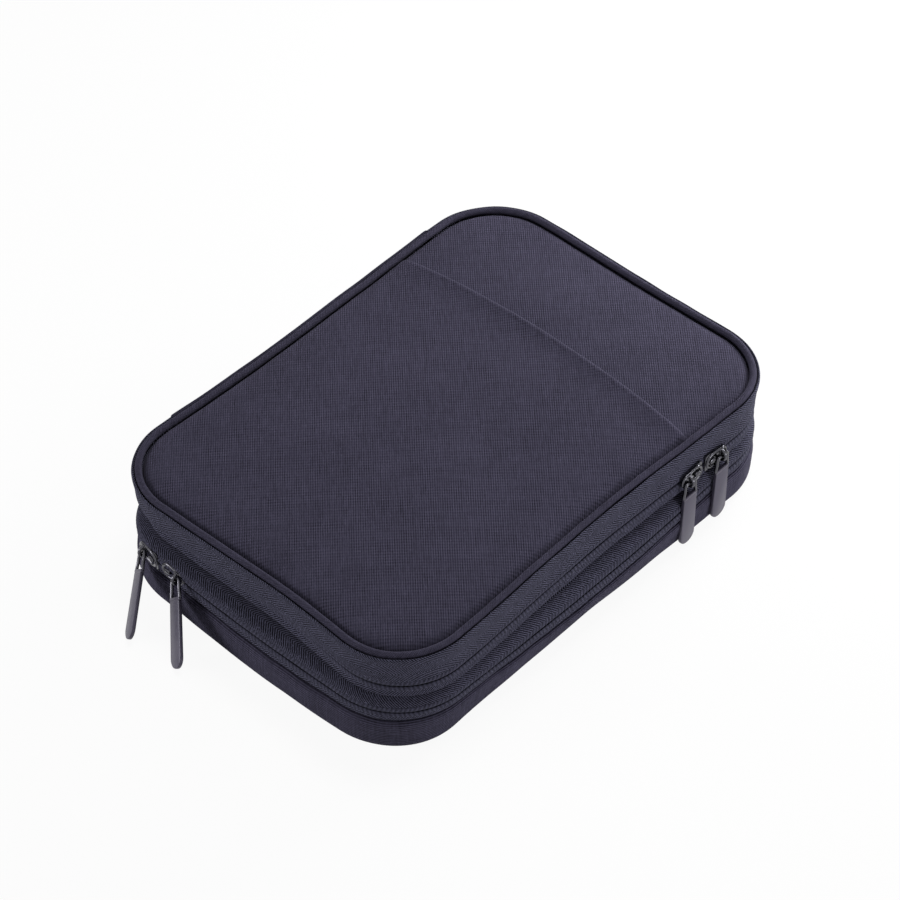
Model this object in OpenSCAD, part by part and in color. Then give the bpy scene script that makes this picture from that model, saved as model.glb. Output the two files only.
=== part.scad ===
// Flat two-compartment zip case for battery packs: a padded bottom tray, a middle leaf and a lid,
// joined by a cloth spine and by two zips that each carry two sliders.
// Millimetres, +Z up. The origin is the centre of the bottom. The spine is at -X.

/* [Case] */
// Length of the case along the spine
case_l = 214; // [180:1:260]
// Width of the case, from the spine to the opening side
case_w = 154; // [130:1:190]
// Radius of the corners in plan, at the outer wall
corner_r = 30.5; // [27:0.5:36]
// Height of the padded bottom tray
tray_h = 15; // [14:0.2:24]
// Radius of the tray's rounded lower edge
tray_edge_r = 4; // [4:0.5:12]
// Height of the lower zip above the tray's rim
lower_zip_rise = 6; // [4.6:0.1:7]
// Height from the lower zip to the valley between the two compartments
valley_rise = 9; // [8:0.5:20]
// Depth of the valley, in from the outer wall
valley_in = 3.4; // [2:0.2:5]
// Height from the valley to the upper zip
upper_zip_rise = 5.2; // [5.2:0.1:9]
// Height from the upper zip to the lid's edge seam
lid_rise = 12.8; // [10:0.2:22]
// Height of the lid's crown above its edge
crown_h = 3.2; // [2:0.2:7]

/* [Cloth] */
// Thickness of the padded shell of the tray and the lid
shell_t = 2.4; // [1.6:0.1:3]
// Thickness of the lining
lining_t = 0.8; // [0.5:0.1:1.2]
// Thickness of the zip tape
tape_t = 0.7; // [0.5:0.1:0.9]
// Thickness of the slip pocket's panel
pocket_t = 0.9; // [0.6:0.1:1.4]
// Thickness of the divider between the compartments
divider_t = 2; // [1.2:0.1:3]
// Thickness of the spine cloth
spine_t = 1.2; // [0.8:0.1:1.8]
// Length of the spine cloth along the case
spine_l = 140; // [100:1:145]
// Diameter of the piping
pipe_d = 3.2; // [3:0.1:5]
// Width of the seam allowances inside
seam_w = 3.6; // [3:0.1:6]

/* [Slip pocket] */
// Distance of the pocket's mouth from the middle of the lid
mouth_y = 50.5; // [20:0.5:70]
// Bow of the mouth's edge across the lid
mouth_bow = 4; // [1:0.5:8]
// Width of the hem along the mouth
mouth_hem = 3; // [2:0.5:6]

/* [Zips] */
// Clear gap between the two halves of a zip
zip_gap = 1; // [0.8:0.1:1.2]
// Width of one half of the coil
coil_w = 1.8; // [1.4:0.1:2]
// Thickness of the coil
coil_t = 1.6; // [1.2:0.1:2]
// Distance of the tape's face in from the outer wall
tape_in = 0.6; // [0.4:0.1:1]

/* [Sliders] */
// Length of a slider along its zip
slider_l = 12.3; // [11:0.1:13]
// Width of a slider across its zip, at the shoulders
slider_w = 8.2; // [7.6:0.1:8.4]
// Width of a slider at its tail
slider_tail_w = 6.4; // [5.6:0.1:7]
// Thickness of a slider's two plates
plate_t = 1; // [0.8:0.1:1.2]
// Thickness of the lip that keeps the coil in a slider
lip_t = 0.6; // [0.4:0.1:0.7]
// Thickness of the post that joins a slider's two plates
post_t = 0.5; // [0.3:0.1:0.6]
// Diameter of the bail's bar
bail_d = 1.3; // [1:0.1:1.5]
// Half the span of the bail's arch, at the middle of its bar
bail_r = 2.4; // [2.2:0.1:2.6]
// Distance of the bail from the slider's middle, towards the tail
bail_back = 2.4; // [1.8:0.1:2.8]
// Running clearance between a slider and what it rides on
run_c = 0.25; // [0.2:0.05:0.35]

/* [Pulls] */
// Length of a pull from the top of its eye to its tip
pull_l = 33.5; // [26:0.5:33.5]
// Width of a pull's tab near its end
pull_w = 8; // [7.6:0.1:9]
// Thickness of a pull's tab
pull_t = 1.5; // [1.2:0.1:1.7]
// Diameter of the wire that forms the eye
eye_d = 1.3; // [1:0.1:1.4]
// Inner length of the eye
eye_l = 6; // [5:0.1:8]
// Height of the lower pulls' tips above the surface that the case rests on
tip_c = 0.3; // [0.2:0.1:2]
// Swivel of the lower pulls along the wall
lower_swivel = 45; // [30:1:48]

/* [Slider places] */
// Distance of the upper sliders from the corner, along the opening side: the middle of the pair
upper_pair_in = 20.5; // [14.5:0.5:50]
// Distance between the upper sliders' middles
upper_pair_gap = 14; // [13.5:0.1:18]
// Distance of the lower slider on the short wall from the spine corner
lower_slider_in = 7.5; // [7.5:0.5:30]
// Angle of the other lower slider round the spine corner
lower_slider_turn = 12; // [12:0.5:30]

/* [Inside] */
// Width of the elastic band on the divider
elastic_w = 25; // [15:1:40]
// Number of loops sewn in the elastic band
elastic_loops_n = 5; // [2:1:6]
// Width of one elastic loop
loop_w = 21; // [14:0.5:22]
// Height of one elastic loop
loop_h = 4; // [2.5:0.5:5]
// Thickness of the elastic
elastic_t = 1; // [0.8:0.1:1.4]
// Place of the elastic band along the case
elastic_y = -40; // [-60:1:60]
// Length of the mesh pocket in the lid
mesh_l = 110; // [60:1:160]
// Thickness of the mesh
mesh_t = 0.6; // [0.4:0.1:0.8]
// Width of the elastic edge of the mesh pocket
mesh_edge_w = 8; // [6:1:14]

/* [Hidden] */

$fn = 48;
eps = 0.01;
seat_c = 0.1;
cloth = "#2b2836";
cloth_edge = "#232029";
tape_black = "#201e28";
lining_grey = "#3a3944";
metal_black = "#141318";
tab_grey = "#4a4652";

half_w = case_w / 2;
half_l = case_l / 2;
side_w = case_w - 2 * corner_r;
side_l = case_l - 2 * corner_r;
lower_zip_z = tray_h + lower_zip_rise;
valley_z = lower_zip_z + valley_rise;
upper_zip_z = valley_z + upper_zip_rise;
lid_z = upper_zip_z + lid_rise;
divider_low = valley_z - divider_t / 2;
divider_top = valley_z + divider_t / 2;
tape_back = tape_in + tape_t;
coil_back = tape_back + coil_t;
pipe_z = lid_z + pipe_d / 2;
panel_in = pipe_d + seat_c;
rim_step = 0.3;

// ---------------------------------------------------------------- plan outline and sweeps

// The case's outline, moved in from the outer wall
module plan(inset) {
    r = corner_r - inset;
    square([case_w - 2 * inset, side_l], center = true);
    square([side_w, case_l - 2 * inset], center = true);
    for (sx = [-1, 1], sy = [-1, 1])
        translate([sx * side_w / 2, sy * side_l / 2])
            circle(r, $fn = 96);
}

module slab(inset, low, high) {
    translate([0, 0, low])
        linear_extrude(high - low)
            plan(inset);
}

// Sweeps a profile along a straight wall. The profile's x is outwards from the outer wall, its y is up.
module along_wall(turn, reach, from, to) {
    rotate([0, 0, turn])
        translate([reach, to, 0])
            rotate([90, 0, 0])
                linear_extrude(to - from)
                    children();
}

// Sweeps a profile round one corner
module round_corner(sx, sy, turn) {
    translate([sx * side_w / 2, sy * side_l / 2, 0])
        rotate([0, 0, turn])
            rotate_extrude(angle = 90, $fn = 96)
                translate([corner_r, 0])
                    children();
}

module round_corners() {
    round_corner(1, 1, 0) children();
    round_corner(-1, 1, 90) children();
    round_corner(-1, -1, 180) children();
    round_corner(1, -1, 270) children();
}

module open_walls() {
    along_wall(0, half_w, -side_l / 2, side_l / 2) children();
    along_wall(90, half_l, -side_w / 2, side_w / 2) children();
    along_wall(270, half_l, -side_w / 2, side_w / 2) children();
}

// All the way round
module sweep_round() {
    round_corners() children();
    open_walls() children();
    along_wall(180, half_w, -side_l / 2, side_l / 2) children();
}

// From one end of the spine cloth round to the other
module sweep_zip() {
    round_corners() children();
    open_walls() children();
    along_wall(180, half_w, spine_l / 2, side_l / 2) children();
    along_wall(180, half_w, -side_l / 2, -spine_l / 2) children();
}

module band(near, far, low, high) {
    translate([-far, low])
        square([far - near, high - low]);
}

// ---------------------------------------------------------------- tray

module tray_outline() {
    difference() {
        band(0, corner_r - 1, 0, tray_h);
        translate([-tray_edge_r, 0])
            square([tray_edge_r + 1, tray_edge_r]);
    }
    translate([-tray_edge_r, tray_edge_r])
        circle(tray_edge_r);
}

module tray_wall_profile() {
    difference() {
        intersection() {
            tray_outline();
            band(0, tray_edge_r, 0, tray_h);
        }
        translate([-tray_edge_r, tray_edge_r])
            circle(tray_edge_r - shell_t);
        band(shell_t, tray_edge_r + 1, tray_edge_r, tray_h + 1);
    }
}

module tray_shell() {
    color(cloth) {
        sweep_round() tray_wall_profile();
        slab(tray_edge_r, 0, shell_t);
    }
}

lining_in = shell_t + tape_t + 2 * seat_c;
binding_top = tray_h + 0.8;
binding_low = tray_h - seam_w;

module tray_lining_profile() {
    r = tray_edge_r - shell_t - seat_c;
    difference() {
        translate([-tray_edge_r, tray_edge_r])
            circle(r);
        translate([-tray_edge_r, tray_edge_r])
            circle(r - lining_t);
        band(-1, tray_edge_r + corner_r, tray_edge_r, tray_h);
        band(tray_edge_r, tray_edge_r + corner_r, 0, tray_h);
    }
    band(shell_t + seat_c, shell_t + seat_c + lining_t, tray_edge_r, binding_low - seat_c);
}

module tray_lining() {
    color(lining_grey) {
        sweep_round() tray_lining_profile();
        slab(tray_edge_r, shell_t + seat_c, shell_t + seat_c + lining_t);
    }
}

module tray_binding() {
    color(cloth_edge)
        sweep_round() band(lining_in, lining_in + 1.4, binding_low, binding_top);
}

// Visible half of the tape, then a step over the tray's rim and down its inner side
module tray_tape_profile() {
    band(tape_in, tape_back, tray_h + seat_c, lower_zip_z - zip_gap / 2);
    band(tape_in, shell_t + tape_t + seat_c, tray_h + seat_c, tray_h + seat_c + tape_t);
    band(shell_t + seat_c, shell_t + tape_t + seat_c, binding_low, tray_h + seat_c + tape_t);
}

module tray_zip_tape() {
    color(tape_black)
        sweep_zip() tray_tape_profile();
}

// Half of a zip's coil, behind its tape: dir is +1 for the half above the gap and -1 for the half below
module coil_profile(z, dir) {
    edge = z + dir * zip_gap / 2;
    low = min(edge, edge + dir * coil_w);
    high = low + coil_w;
    cut = coil_t / 4;
    polygon([
        [-tape_back, low], [-tape_back, high], [cut - coil_back, high],
        [-coil_back, high - cut], [-coil_back, low + cut], [cut - coil_back, low]
    ]);
}

module tray_zip_coil() {
    color(tape_black)
        sweep_zip() coil_profile(lower_zip_z, -1);
}

// ---------------------------------------------------------------- spine

spine_face = half_w + spine_t;

// One stretch of the spine cloth, from low to high, on the outside of the spine wall
module spine_strip(low, high) {
    translate([-spine_face, -spine_l / 2, low])
        cube([spine_t, spine_l, high - low]);
}

// The cloth that closes the wall behind the strip
module spine_wall(low, high) {
    translate([-half_w, -spine_l / 2 + seat_c, low])
        cube([shell_t, spine_l - 2 * seat_c, high - low]);
}

module spine_tray() {
    color(cloth) {
        spine_strip(tray_edge_r, lower_zip_z - zip_gap / 2);
        spine_wall(tray_h + seat_c + tape_t, lower_zip_z - zip_gap / 2);
    }
}

module spine_leaf() {
    color(cloth) {
        spine_strip(lower_zip_z + zip_gap / 2, upper_zip_z - zip_gap / 2);
        spine_wall(lower_zip_z + zip_gap / 2, divider_low - tape_t - seat_c);
        spine_wall(divider_top + tape_t + seat_c, upper_zip_z - zip_gap / 2);
    }
}

module spine_lid() {
    color(cloth) {
        spine_strip(upper_zip_z + zip_gap / 2, lid_z - seat_c);
        spine_wall(upper_zip_z + zip_gap / 2, lid_z - tape_t - 2 * seat_c);
    }
}

// ---------------------------------------------------------------- middle leaf

fold = 1.4;

// Flat by the zip, then curving in to the seam at the valley's edge
module leaf_lower_tape_profile() {
    low = lower_zip_z + zip_gap / 2;
    top = divider_low;
    knee = top - valley_in - fold;
    polygon([
        [-tape_in, low], [-tape_in, knee], [-tape_in - 0.35, knee + 0.45 * valley_in],
        [-tape_in - 0.4 * valley_in, top - 0.3 * fold], [-valley_in, top], [-valley_in - seam_w, top],
        [-valley_in - seam_w, top - tape_t], [-valley_in, top - tape_t],
        [-tape_back - 0.4 * valley_in, top - 0.4 * fold - tape_t],
        [-tape_back - 0.35, knee + 0.35 * valley_in], [-tape_back, knee], [-tape_back, low]
    ]);
}

// A right-angled fold, so that the sliders' lips pass over it
module leaf_upper_tape_profile() {
    high = upper_zip_z - zip_gap / 2;
    low = divider_top;
    cut = tape_t / 2;
    polygon([
        [-tape_in, high], [-tape_in, low + cut], [-tape_in - cut, low], [-valley_in - seam_w, low],
        [-valley_in - seam_w, low + tape_t], [-tape_back, low + tape_t], [-tape_back, high]
    ]);
}

module leaf_lower_zip_tape() {
    color(tape_black)
        sweep_zip() leaf_lower_tape_profile();
}

module leaf_upper_zip_tape() {
    color(tape_black)
        sweep_zip() leaf_upper_tape_profile();
}

module leaf_lower_zip_coil() {
    color(tape_black)
        sweep_zip() coil_profile(lower_zip_z, 1);
}

module leaf_upper_zip_coil() {
    color(tape_black)
        sweep_zip() coil_profile(upper_zip_z, -1);
}

binding_w = 1.6;

module leaf_divider() {
    color(lining_grey)
        slab(valley_in + binding_w, divider_low, divider_top);
}

// Bound edge of the divider, seen at the bottom of the valley
module leaf_edge_binding() {
    color(cloth_edge)
        sweep_round() band(valley_in, valley_in + binding_w, divider_low, divider_top);
}

// A flat band sewn down between loops, each loop a low arch
module leaf_elastic_loops() {
    pitch = loop_w + 4;
    arc_r = (loop_w * loop_w / 4 + loop_h * loop_h) / (2 * loop_h);
    run = pitch * elastic_loops_n + 4;
    color(cloth_edge)
        translate([0, elastic_y + elastic_w / 2, divider_top])
            rotate([90, 0, 0])
                linear_extrude(elastic_w) {
                    translate([-run / 2, 0])
                        square([run, elastic_t]);
                    for (k = [0 : elastic_loops_n - 1])
                        translate([(k - (elastic_loops_n - 1) / 2) * pitch, elastic_t + loop_h - arc_r])
                            difference() {
                                intersection() {
                                    circle(arc_r, $fn = 96);
                                    translate([-loop_w, arc_r - loop_h - elastic_t / 2])
                                        square([2 * loop_w, 2 * loop_h]);
                                }
                                circle(arc_r - elastic_t, $fn = 96);
                            }
                }
}

// ---------------------------------------------------------------- lid

// A block whose top is crowned both ways: its edge is at edge_z and its middle crown_h above that
module crowned(inset, edge_z, foot_z) {
    rise_w = half_w - panel_in;
    rise_l = half_l - panel_in;
    r_w = (rise_w * rise_w + crown_h * crown_h) / (2 * crown_h);
    r_l = (rise_l * rise_l + crown_h * crown_h) / (2 * crown_h);
    intersection() {
        slab(inset, foot_z, edge_z + crown_h + 1);
        translate([0, half_l, edge_z + crown_h - r_w])
            rotate([90, 0, 0])
                cylinder(r = r_w, h = case_l, $fn = 360);
        translate([-half_w, 0, edge_z + crown_h - r_l])
            rotate([0, 90, 0])
                cylinder(r = r_l, h = case_w, $fn = 360);
    }
}

// The hollow under the crown starts a little way in from the edge, which stays flat underneath
module crowned_skin(inset, edge_z, thick) {
    difference() {
        crowned(inset, edge_z, edge_z - thick + rim_step);
        crowned(inset - 1, edge_z - thick, edge_z - 2 * thick);
    }
}

module lid_panel() {
    color(cloth)
        crowned_skin(panel_in, lid_z + shell_t, shell_t);
}

pocket_z = lid_z + shell_t + seat_c + pocket_t;
hem_t = pocket_t / 2;

// Everything on the pocket's side of a line that runs parallel to the mouth's bowed edge
module behind_mouth(back) {
    mouth_r = (half_w * half_w + mouth_bow * mouth_bow) / (2 * mouth_bow);
    translate([0, mouth_y + mouth_bow - mouth_r, lid_z])
        cylinder(r = mouth_r - back, h = lid_z, $fn = 360);
}

// A flat panel on the lid, open at its mouth, where a folded hem makes it thicker
module lid_slip_pocket() {
    color(cloth) {
        intersection() {
            crowned_skin(panel_in, pocket_z, pocket_t);
            behind_mouth(0);
        }
        intersection() {
            crowned_skin(panel_in, pocket_z + hem_t, pocket_t + hem_t);
            difference() {
                behind_mouth(0);
                behind_mouth(mouth_hem);
            }
        }
    }
}

module lid_piping() {
    color(cloth_edge)
        sweep_round()
            translate([-pipe_d / 2, pipe_z])
                circle(pipe_d / 2, $fn = 32);
}

module lid_lining() {
    color(lining_grey)
        crowned_skin(panel_in + seam_w, lid_z - seat_c, lining_t);
}

module lid_binding() {
    high = lid_z - seat_c - tape_t;
    color(cloth_edge)
        sweep_round() band(panel_in - 0.6, panel_in + 1, high - seam_w, high);
}

module lid_tape_profile() {
    low = upper_zip_z + zip_gap / 2;
    top = lid_z - seat_c;
    polygon([
        [-tape_in, low], [-tape_in, top - fold], [-tape_in - 0.4, top - 0.4], [-tape_back - 0.4, top],
        [-panel_in - seam_w, top], [-panel_in - seam_w, top - tape_t],
        [-tape_back - 0.6, top - tape_t], [-tape_back, top - fold], [-tape_back, low]
    ]);
}

module lid_zip_tape() {
    color(tape_black)
        sweep_zip() lid_tape_profile();
}

module lid_zip_coil() {
    color(tape_black)
        sweep_zip() coil_profile(upper_zip_z, 1);
}

mesh_z = lid_z - seat_c - tape_t - mesh_t - seat_c;
mesh_in = panel_in + seam_w / 2;
mesh_mouth = -half_l + mesh_in + mesh_l;

module lid_mesh() {
    color(tape_black)
        intersection() {
            slab(mesh_in, mesh_z, mesh_z + mesh_t);
            translate([-half_w, mesh_mouth - mesh_l - 1, mesh_z - 1])
                cube([case_w, mesh_l + 1, mesh_t + 2]);
        }
}

module lid_mesh_edge() {
    color(cloth_edge)
        translate([-half_w + mesh_in, mesh_mouth, mesh_z + mesh_t - elastic_t])
            cube([case_w - 2 * mesh_in, mesh_edge_w, elastic_t]);
}

// ---------------------------------------------------------------- sliders
// A slider is drawn flat: x along the zip with the nose at +x, y up the wall, z outwards from the tape's face.

inner_half = zip_gap / 2 + coil_w + run_c + lip_t;
inner_z = -tape_t - coil_t - run_c - plate_t;
outer_z = run_c;
bail_z = outer_z + plate_t;
eye_z = bail_z + bail_r - bail_d / 2 - eye_d / 2 - 0.2;

// The outline round two circles, drawn exactly: both circles and the quadrilateral of their outer tangents
module round_strap(a, ra, b, rb) {
    d = norm(b - a);
    turn = atan2(b[1] - a[1], b[0] - a[0]);
    lean = acos((ra - rb) / d);
    translate(a) circle(ra);
    translate(b) circle(rb);
    polygon([for (p = [[a, ra, 1], [b, rb, 1], [b, rb, -1], [a, ra, -1]])
        p[0] + p[1] * [cos(turn + p[2] * lean), sin(turn + p[2] * lean)]]);
}

module plate_outline(half, tail) {
    r = 1.5;
    nose = [slider_l / 2 - r, half - r];
    back = [-slider_l / 2 + tail, 0];
    round_strap(back, tail, nose, r);
    round_strap(back, tail, [nose[0], -nose[1]], r);
    round_strap(nose, r, [nose[0], -nose[1]], r);
    polygon([back, nose, [nose[0], -nose[1]]]);
}

// deeper is how much further in the inner plate sits, for a slider that rides round a corner
module slider_body(deeper = 0) {
    inner = inner_z - deeper;
    color(metal_black) {
        translate([0, 0, outer_z])
            linear_extrude(plate_t)
                plate_outline(slider_w / 2, slider_tail_w / 2);
        translate([0, 0, inner])
            linear_extrude(plate_t)
                plate_outline(inner_half, inner_half - 0.4);
        translate([slider_l / 2 - 3, -post_t / 2, inner + eps])
            cube([2.4, post_t, outer_z - inner]);
        translate([-slider_l / 2 + 2.6, -inner_half, inner + eps])
            cube([slider_l - 4.6, lip_t, plate_t + coil_t]);
    }
}

// An arch across the zip, standing on the outer plate
module slider_bail() {
    color(metal_black)
        translate([-bail_back, 0, bail_z])
            rotate([90, 0, 90])
                intersection() {
                    rotate_extrude($fn = 64)
                        translate([bail_r, 0])
                            circle(bail_d / 2, $fn = 24);
                    translate([-bail_r - bail_d, 0, -bail_d])
                        cube([2 * bail_r + 2 * bail_d, bail_r + bail_d, 2 * bail_d]);
                }
}

// ---------------------------------------------------------------- pulls
// A pull is drawn hanging: its pivot is at the origin, x along its top bar, y up, z outwards.

tab_low = eye_d / 2 - pull_l;
tab_top_w = pull_w - 0.7;
eye_half = (tab_top_w - eye_d) / 2;
eye_low = -eye_l - eye_d;
collar_t = 0.3;
collar_l = eye_d + 2 * collar_t;

// The lower pulls are longer than their zip is high, so they lean out until their tips just clear the surface
pivot_to_round = pull_l - eye_d / 2 - pull_w / 2;
lower_lean = acos(min(1, (lower_zip_z - pull_w / 2 - tip_c) / (pivot_to_round * cos(lower_swivel))));

module eye_bar(from, to, r) {
    d = to - from;
    translate(from)
        rotate([0, 90, atan2(d[1], d[0])])
            cylinder(r = r, h = norm(d), $fn = 24);
    translate(from) sphere(r, $fn = 24);
}

module eye_ring(r) {
    ring = [[-eye_half, 0, 0], [eye_half, 0, 0], [eye_half, eye_low, 0], [-eye_half, eye_low, 0]];
    for (k = [0 : 3])
        eye_bar(ring[k], ring[(k + 1) % 4], r);
}

// Wire loop that hangs in the bail
module pull_eye() {
    color(metal_black)
        eye_ring(eye_d / 2);
}

// Flat tab, a little wider towards its round end, with a collar rolled round the eye's lower bar
module pull_tab() {
    collar_half = collar_l / 2 + seat_c;
    round_y = tab_low + pull_w / 2;
    color(tab_grey)
        difference() {
            union() {
                translate([0, 0, -pull_t / 2])
                    linear_extrude(pull_t) {
                        translate([0, round_y])
                            circle(pull_w / 2, $fn = 64);
                        polygon([
                            [-tab_top_w / 2, eye_low], [tab_top_w / 2, eye_low],
                            [pull_w / 2, round_y], [-pull_w / 2, round_y]
                        ]);
                    }
                translate([-tab_top_w / 2 - collar_t, eye_low - collar_half, -collar_half])
                    cube([tab_top_w + 2 * collar_t, 2 * collar_half, 2 * collar_half]);
            }
            eye_ring(eye_d / 2 + seat_c);
        }
}

// ---------------------------------------------------------------- placing the sliders and pulls

// On the opening wall: dir is +1 where the nose points to +Y
module on_opening_wall(y, dir) {
    translate([half_w - tape_in, y, upper_zip_z])
        rotate([90, 0, 90])
            mirror([dir < 0 ? 1 : 0, 0, 0])
                children();
}

// On the short wall at -Y: dir is +1 where the nose points to +X
module on_end_wall(x, dir) {
    translate([x, -half_l + tape_in, lower_zip_z])
        rotate([90, 0, 0])
            mirror([dir < 0 ? 1 : 0, 0, 0])
                children();
}

// Round the corner between the short wall and the spine
module on_spine_corner(turn) {
    translate([-side_w / 2, -side_l / 2, 0])
        rotate([0, 0, -turn])
            translate([side_w / 2, side_l / 2, 0])
                on_end_wall(-side_w / 2, 1)
                    children();
}

module hang(lean, swivel) {
    translate([-bail_back, 0, eye_z])
        rotate([0, 0, swivel])
            rotate([-lean, 0, 0])
                children();
}

upper_a_y = side_l / 2 - upper_pair_in - upper_pair_gap / 2;
upper_b_y = upper_a_y + upper_pair_gap;
lower_b_x = -side_w / 2 + lower_slider_in;

module at_lower_a() { on_spine_corner(lower_slider_turn) children(); }
module at_lower_b() { on_end_wall(lower_b_x, -1) children(); }
module at_upper_a() { on_opening_wall(upper_a_y, 1) children(); }
module at_upper_b() { on_opening_wall(upper_b_y, -1) children(); }

// How far the corner's curve falls away under a slider's ends
corner_fall = slider_l * slider_l / (8 * (corner_r - tape_in));

module lower_slider_a() { at_lower_a() slider_body(corner_fall); }
module lower_slider_b() { at_lower_b() slider_body(); }
module upper_slider_a() { at_upper_a() slider_body(); }
module upper_slider_b() { at_upper_b() slider_body(); }

module lower_bail_a() { at_lower_a() slider_bail(); }
module lower_bail_b() { at_lower_b() slider_bail(); }
module upper_bail_a() { at_upper_a() slider_bail(); }
module upper_bail_b() { at_upper_b() slider_bail(); }

module lower_eye_a() { at_lower_a() hang(lower_lean, lower_swivel) pull_eye(); }
module lower_eye_b() { at_lower_b() hang(lower_lean, -lower_swivel) pull_eye(); }
module upper_eye_a() { at_upper_a() hang(0, 0) pull_eye(); }
module upper_eye_b() { at_upper_b() hang(0, 0) pull_eye(); }

module lower_tab_a() { at_lower_a() hang(lower_lean, lower_swivel) pull_tab(); }
module lower_tab_b() { at_lower_b() hang(lower_lean, -lower_swivel) pull_tab(); }
module upper_tab_a() { at_upper_a() hang(0, 0) pull_tab(); }
module upper_tab_b() { at_upper_b() hang(0, 0) pull_tab(); }

tray_shell();
tray_lining();
tray_binding();
tray_zip_tape();
tray_zip_coil();
spine_tray();
leaf_lower_zip_tape();
leaf_lower_zip_coil();
leaf_divider();
leaf_edge_binding();
leaf_elastic_loops();
leaf_upper_zip_tape();
leaf_upper_zip_coil();
spine_leaf();
lid_panel();
lid_slip_pocket();
lid_piping();
lid_lining();
lid_binding();
lid_mesh();
lid_mesh_edge();
lid_zip_tape();
lid_zip_coil();
spine_lid();
lower_slider_a();
lower_slider_b();
upper_slider_a();
upper_slider_b();
lower_bail_a();
lower_bail_b();
upper_bail_a();
upper_bail_b();
lower_eye_a();
lower_eye_b();
upper_eye_a();
upper_eye_b();
lower_tab_a();
lower_tab_b();
upper_tab_a();
upper_tab_b();
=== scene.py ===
import math
import bmesh
import bpy
import numpy as np
from mathutils import Matrix, Vector


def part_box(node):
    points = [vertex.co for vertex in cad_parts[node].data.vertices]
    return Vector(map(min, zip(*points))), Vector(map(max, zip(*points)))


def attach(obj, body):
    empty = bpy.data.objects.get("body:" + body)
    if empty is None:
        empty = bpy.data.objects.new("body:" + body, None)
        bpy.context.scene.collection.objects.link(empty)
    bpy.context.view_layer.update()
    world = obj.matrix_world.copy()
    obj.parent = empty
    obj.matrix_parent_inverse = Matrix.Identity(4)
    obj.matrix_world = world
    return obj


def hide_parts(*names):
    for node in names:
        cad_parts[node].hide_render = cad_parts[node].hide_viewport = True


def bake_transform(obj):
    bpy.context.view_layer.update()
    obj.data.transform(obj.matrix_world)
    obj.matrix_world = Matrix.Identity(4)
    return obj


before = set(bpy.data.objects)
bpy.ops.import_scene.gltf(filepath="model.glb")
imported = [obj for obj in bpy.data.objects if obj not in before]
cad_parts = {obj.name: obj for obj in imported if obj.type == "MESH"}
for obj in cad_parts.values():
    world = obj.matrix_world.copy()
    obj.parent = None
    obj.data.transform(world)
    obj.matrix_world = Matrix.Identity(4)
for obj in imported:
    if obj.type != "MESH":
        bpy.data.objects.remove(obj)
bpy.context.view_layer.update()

bl_info = {
    "name": "Zip battery case",
    "version": (1, 0, 0),
    "blender": (4, 5, 0),
    "location": "View3D > Sidebar > Zip case",
    "description": "Sews a flat two-compartment zip case round its packed frame",
    "category": "Object",
}

MM = 0.001
SHARP_DEG = 50.0  # edges that turn by more than this are shaded as edges
WELD_MM = 0.02  # points nearer than this to each other are joined
CORNER_STEP_MM = 1.8  # the longest step between stations on a corner


# ---------------------------------------------------------------- sizes and colours

def size(title, text, default_mm):
    return bpy.props.FloatProperty(
        name=title, description=text, default=default_mm * MM, min=0.0, max=1.0,
        subtype="DISTANCE", unit="LENGTH", precision=4)


def shade(title, text, default):
    return bpy.props.FloatVectorProperty(
        name=title, description=text, default=default, min=0.0, max=1.0, subtype="COLOR", size=3)


def node_mm(node):
    low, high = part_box(node)
    return [v / MM for v in low], [v / MM for v in high]


SHELL_HIGH = node_mm("tray_shell")[1]
STRIP_HIGH = node_mm("spine_tray")[1]
PIPE_LOW, PIPE_HIGH = node_mm("lid_piping")
LOW_ZIP = (node_mm("tray_zip_tape")[1][2] + node_mm("leaf_lower_zip_tape")[0][2]) / 2
HIGH_ZIP = (node_mm("leaf_upper_zip_tape")[1][2] + node_mm("lid_zip_tape")[0][2]) / 2
DIVIDER_LOW, DIVIDER_HIGH = node_mm("leaf_divider")
VALLEY = (DIVIDER_LOW[2] + DIVIDER_HIGH[2]) / 2


class CaseSizes(bpy.types.PropertyGroup):
    width: size("Width", "Width of the case from the spine to the opening side", 2 * SHELL_HIGH[0])
    length: size("Length", "Length of the case along the spine", 2 * SHELL_HIGH[1])
    corner: size("Corner radius", "Radius of the corners in plan", 30.5)
    rim: size("Tray height", "Height of the padded tray", SHELL_HIGH[2])
    edge: size("Lower edge radius", "Radius of the tray's rounded lower edge", 4)
    lower_zip: size("Lower zip", "Height of the lower zip", LOW_ZIP)
    valley: size("Valley", "Height of the valley between the compartments", VALLEY)
    valley_in: size("Valley depth", "Depth of the valley, in from the outer wall", 3.4)
    upper_zip: size("Upper zip", "Height of the upper zip", HIGH_ZIP)
    lid_edge: size("Lid edge", "Height of the lid's edge seam", PIPE_LOW[2])
    piping: size("Piping", "Diameter of the piping", PIPE_HIGH[2] - PIPE_LOW[2])
    crown: size("Crown", "Height of the lid's middle above its edge", 3.2)
    shell: size("Shell", "Thickness of the padded shell", 2.4)
    mouth: size("Pocket mouth", "Distance of the pocket's mouth from the middle of the lid", 50.5)
    mouth_bow: size("Mouth bow", "Bow of the pocket's mouth across the lid", 4)
    hem: size("Hem", "Width of the hem along the pocket's mouth", 3)
    spine: size("Spine cloth", "Thickness of the spine cloth", 1.2)
    slack: bpy.props.FloatProperty(
        name="Slack", description="How strongly the soft walls bow and bulge", default=1.0,
        min=0.0, max=2.0, subtype="FACTOR")


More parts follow.
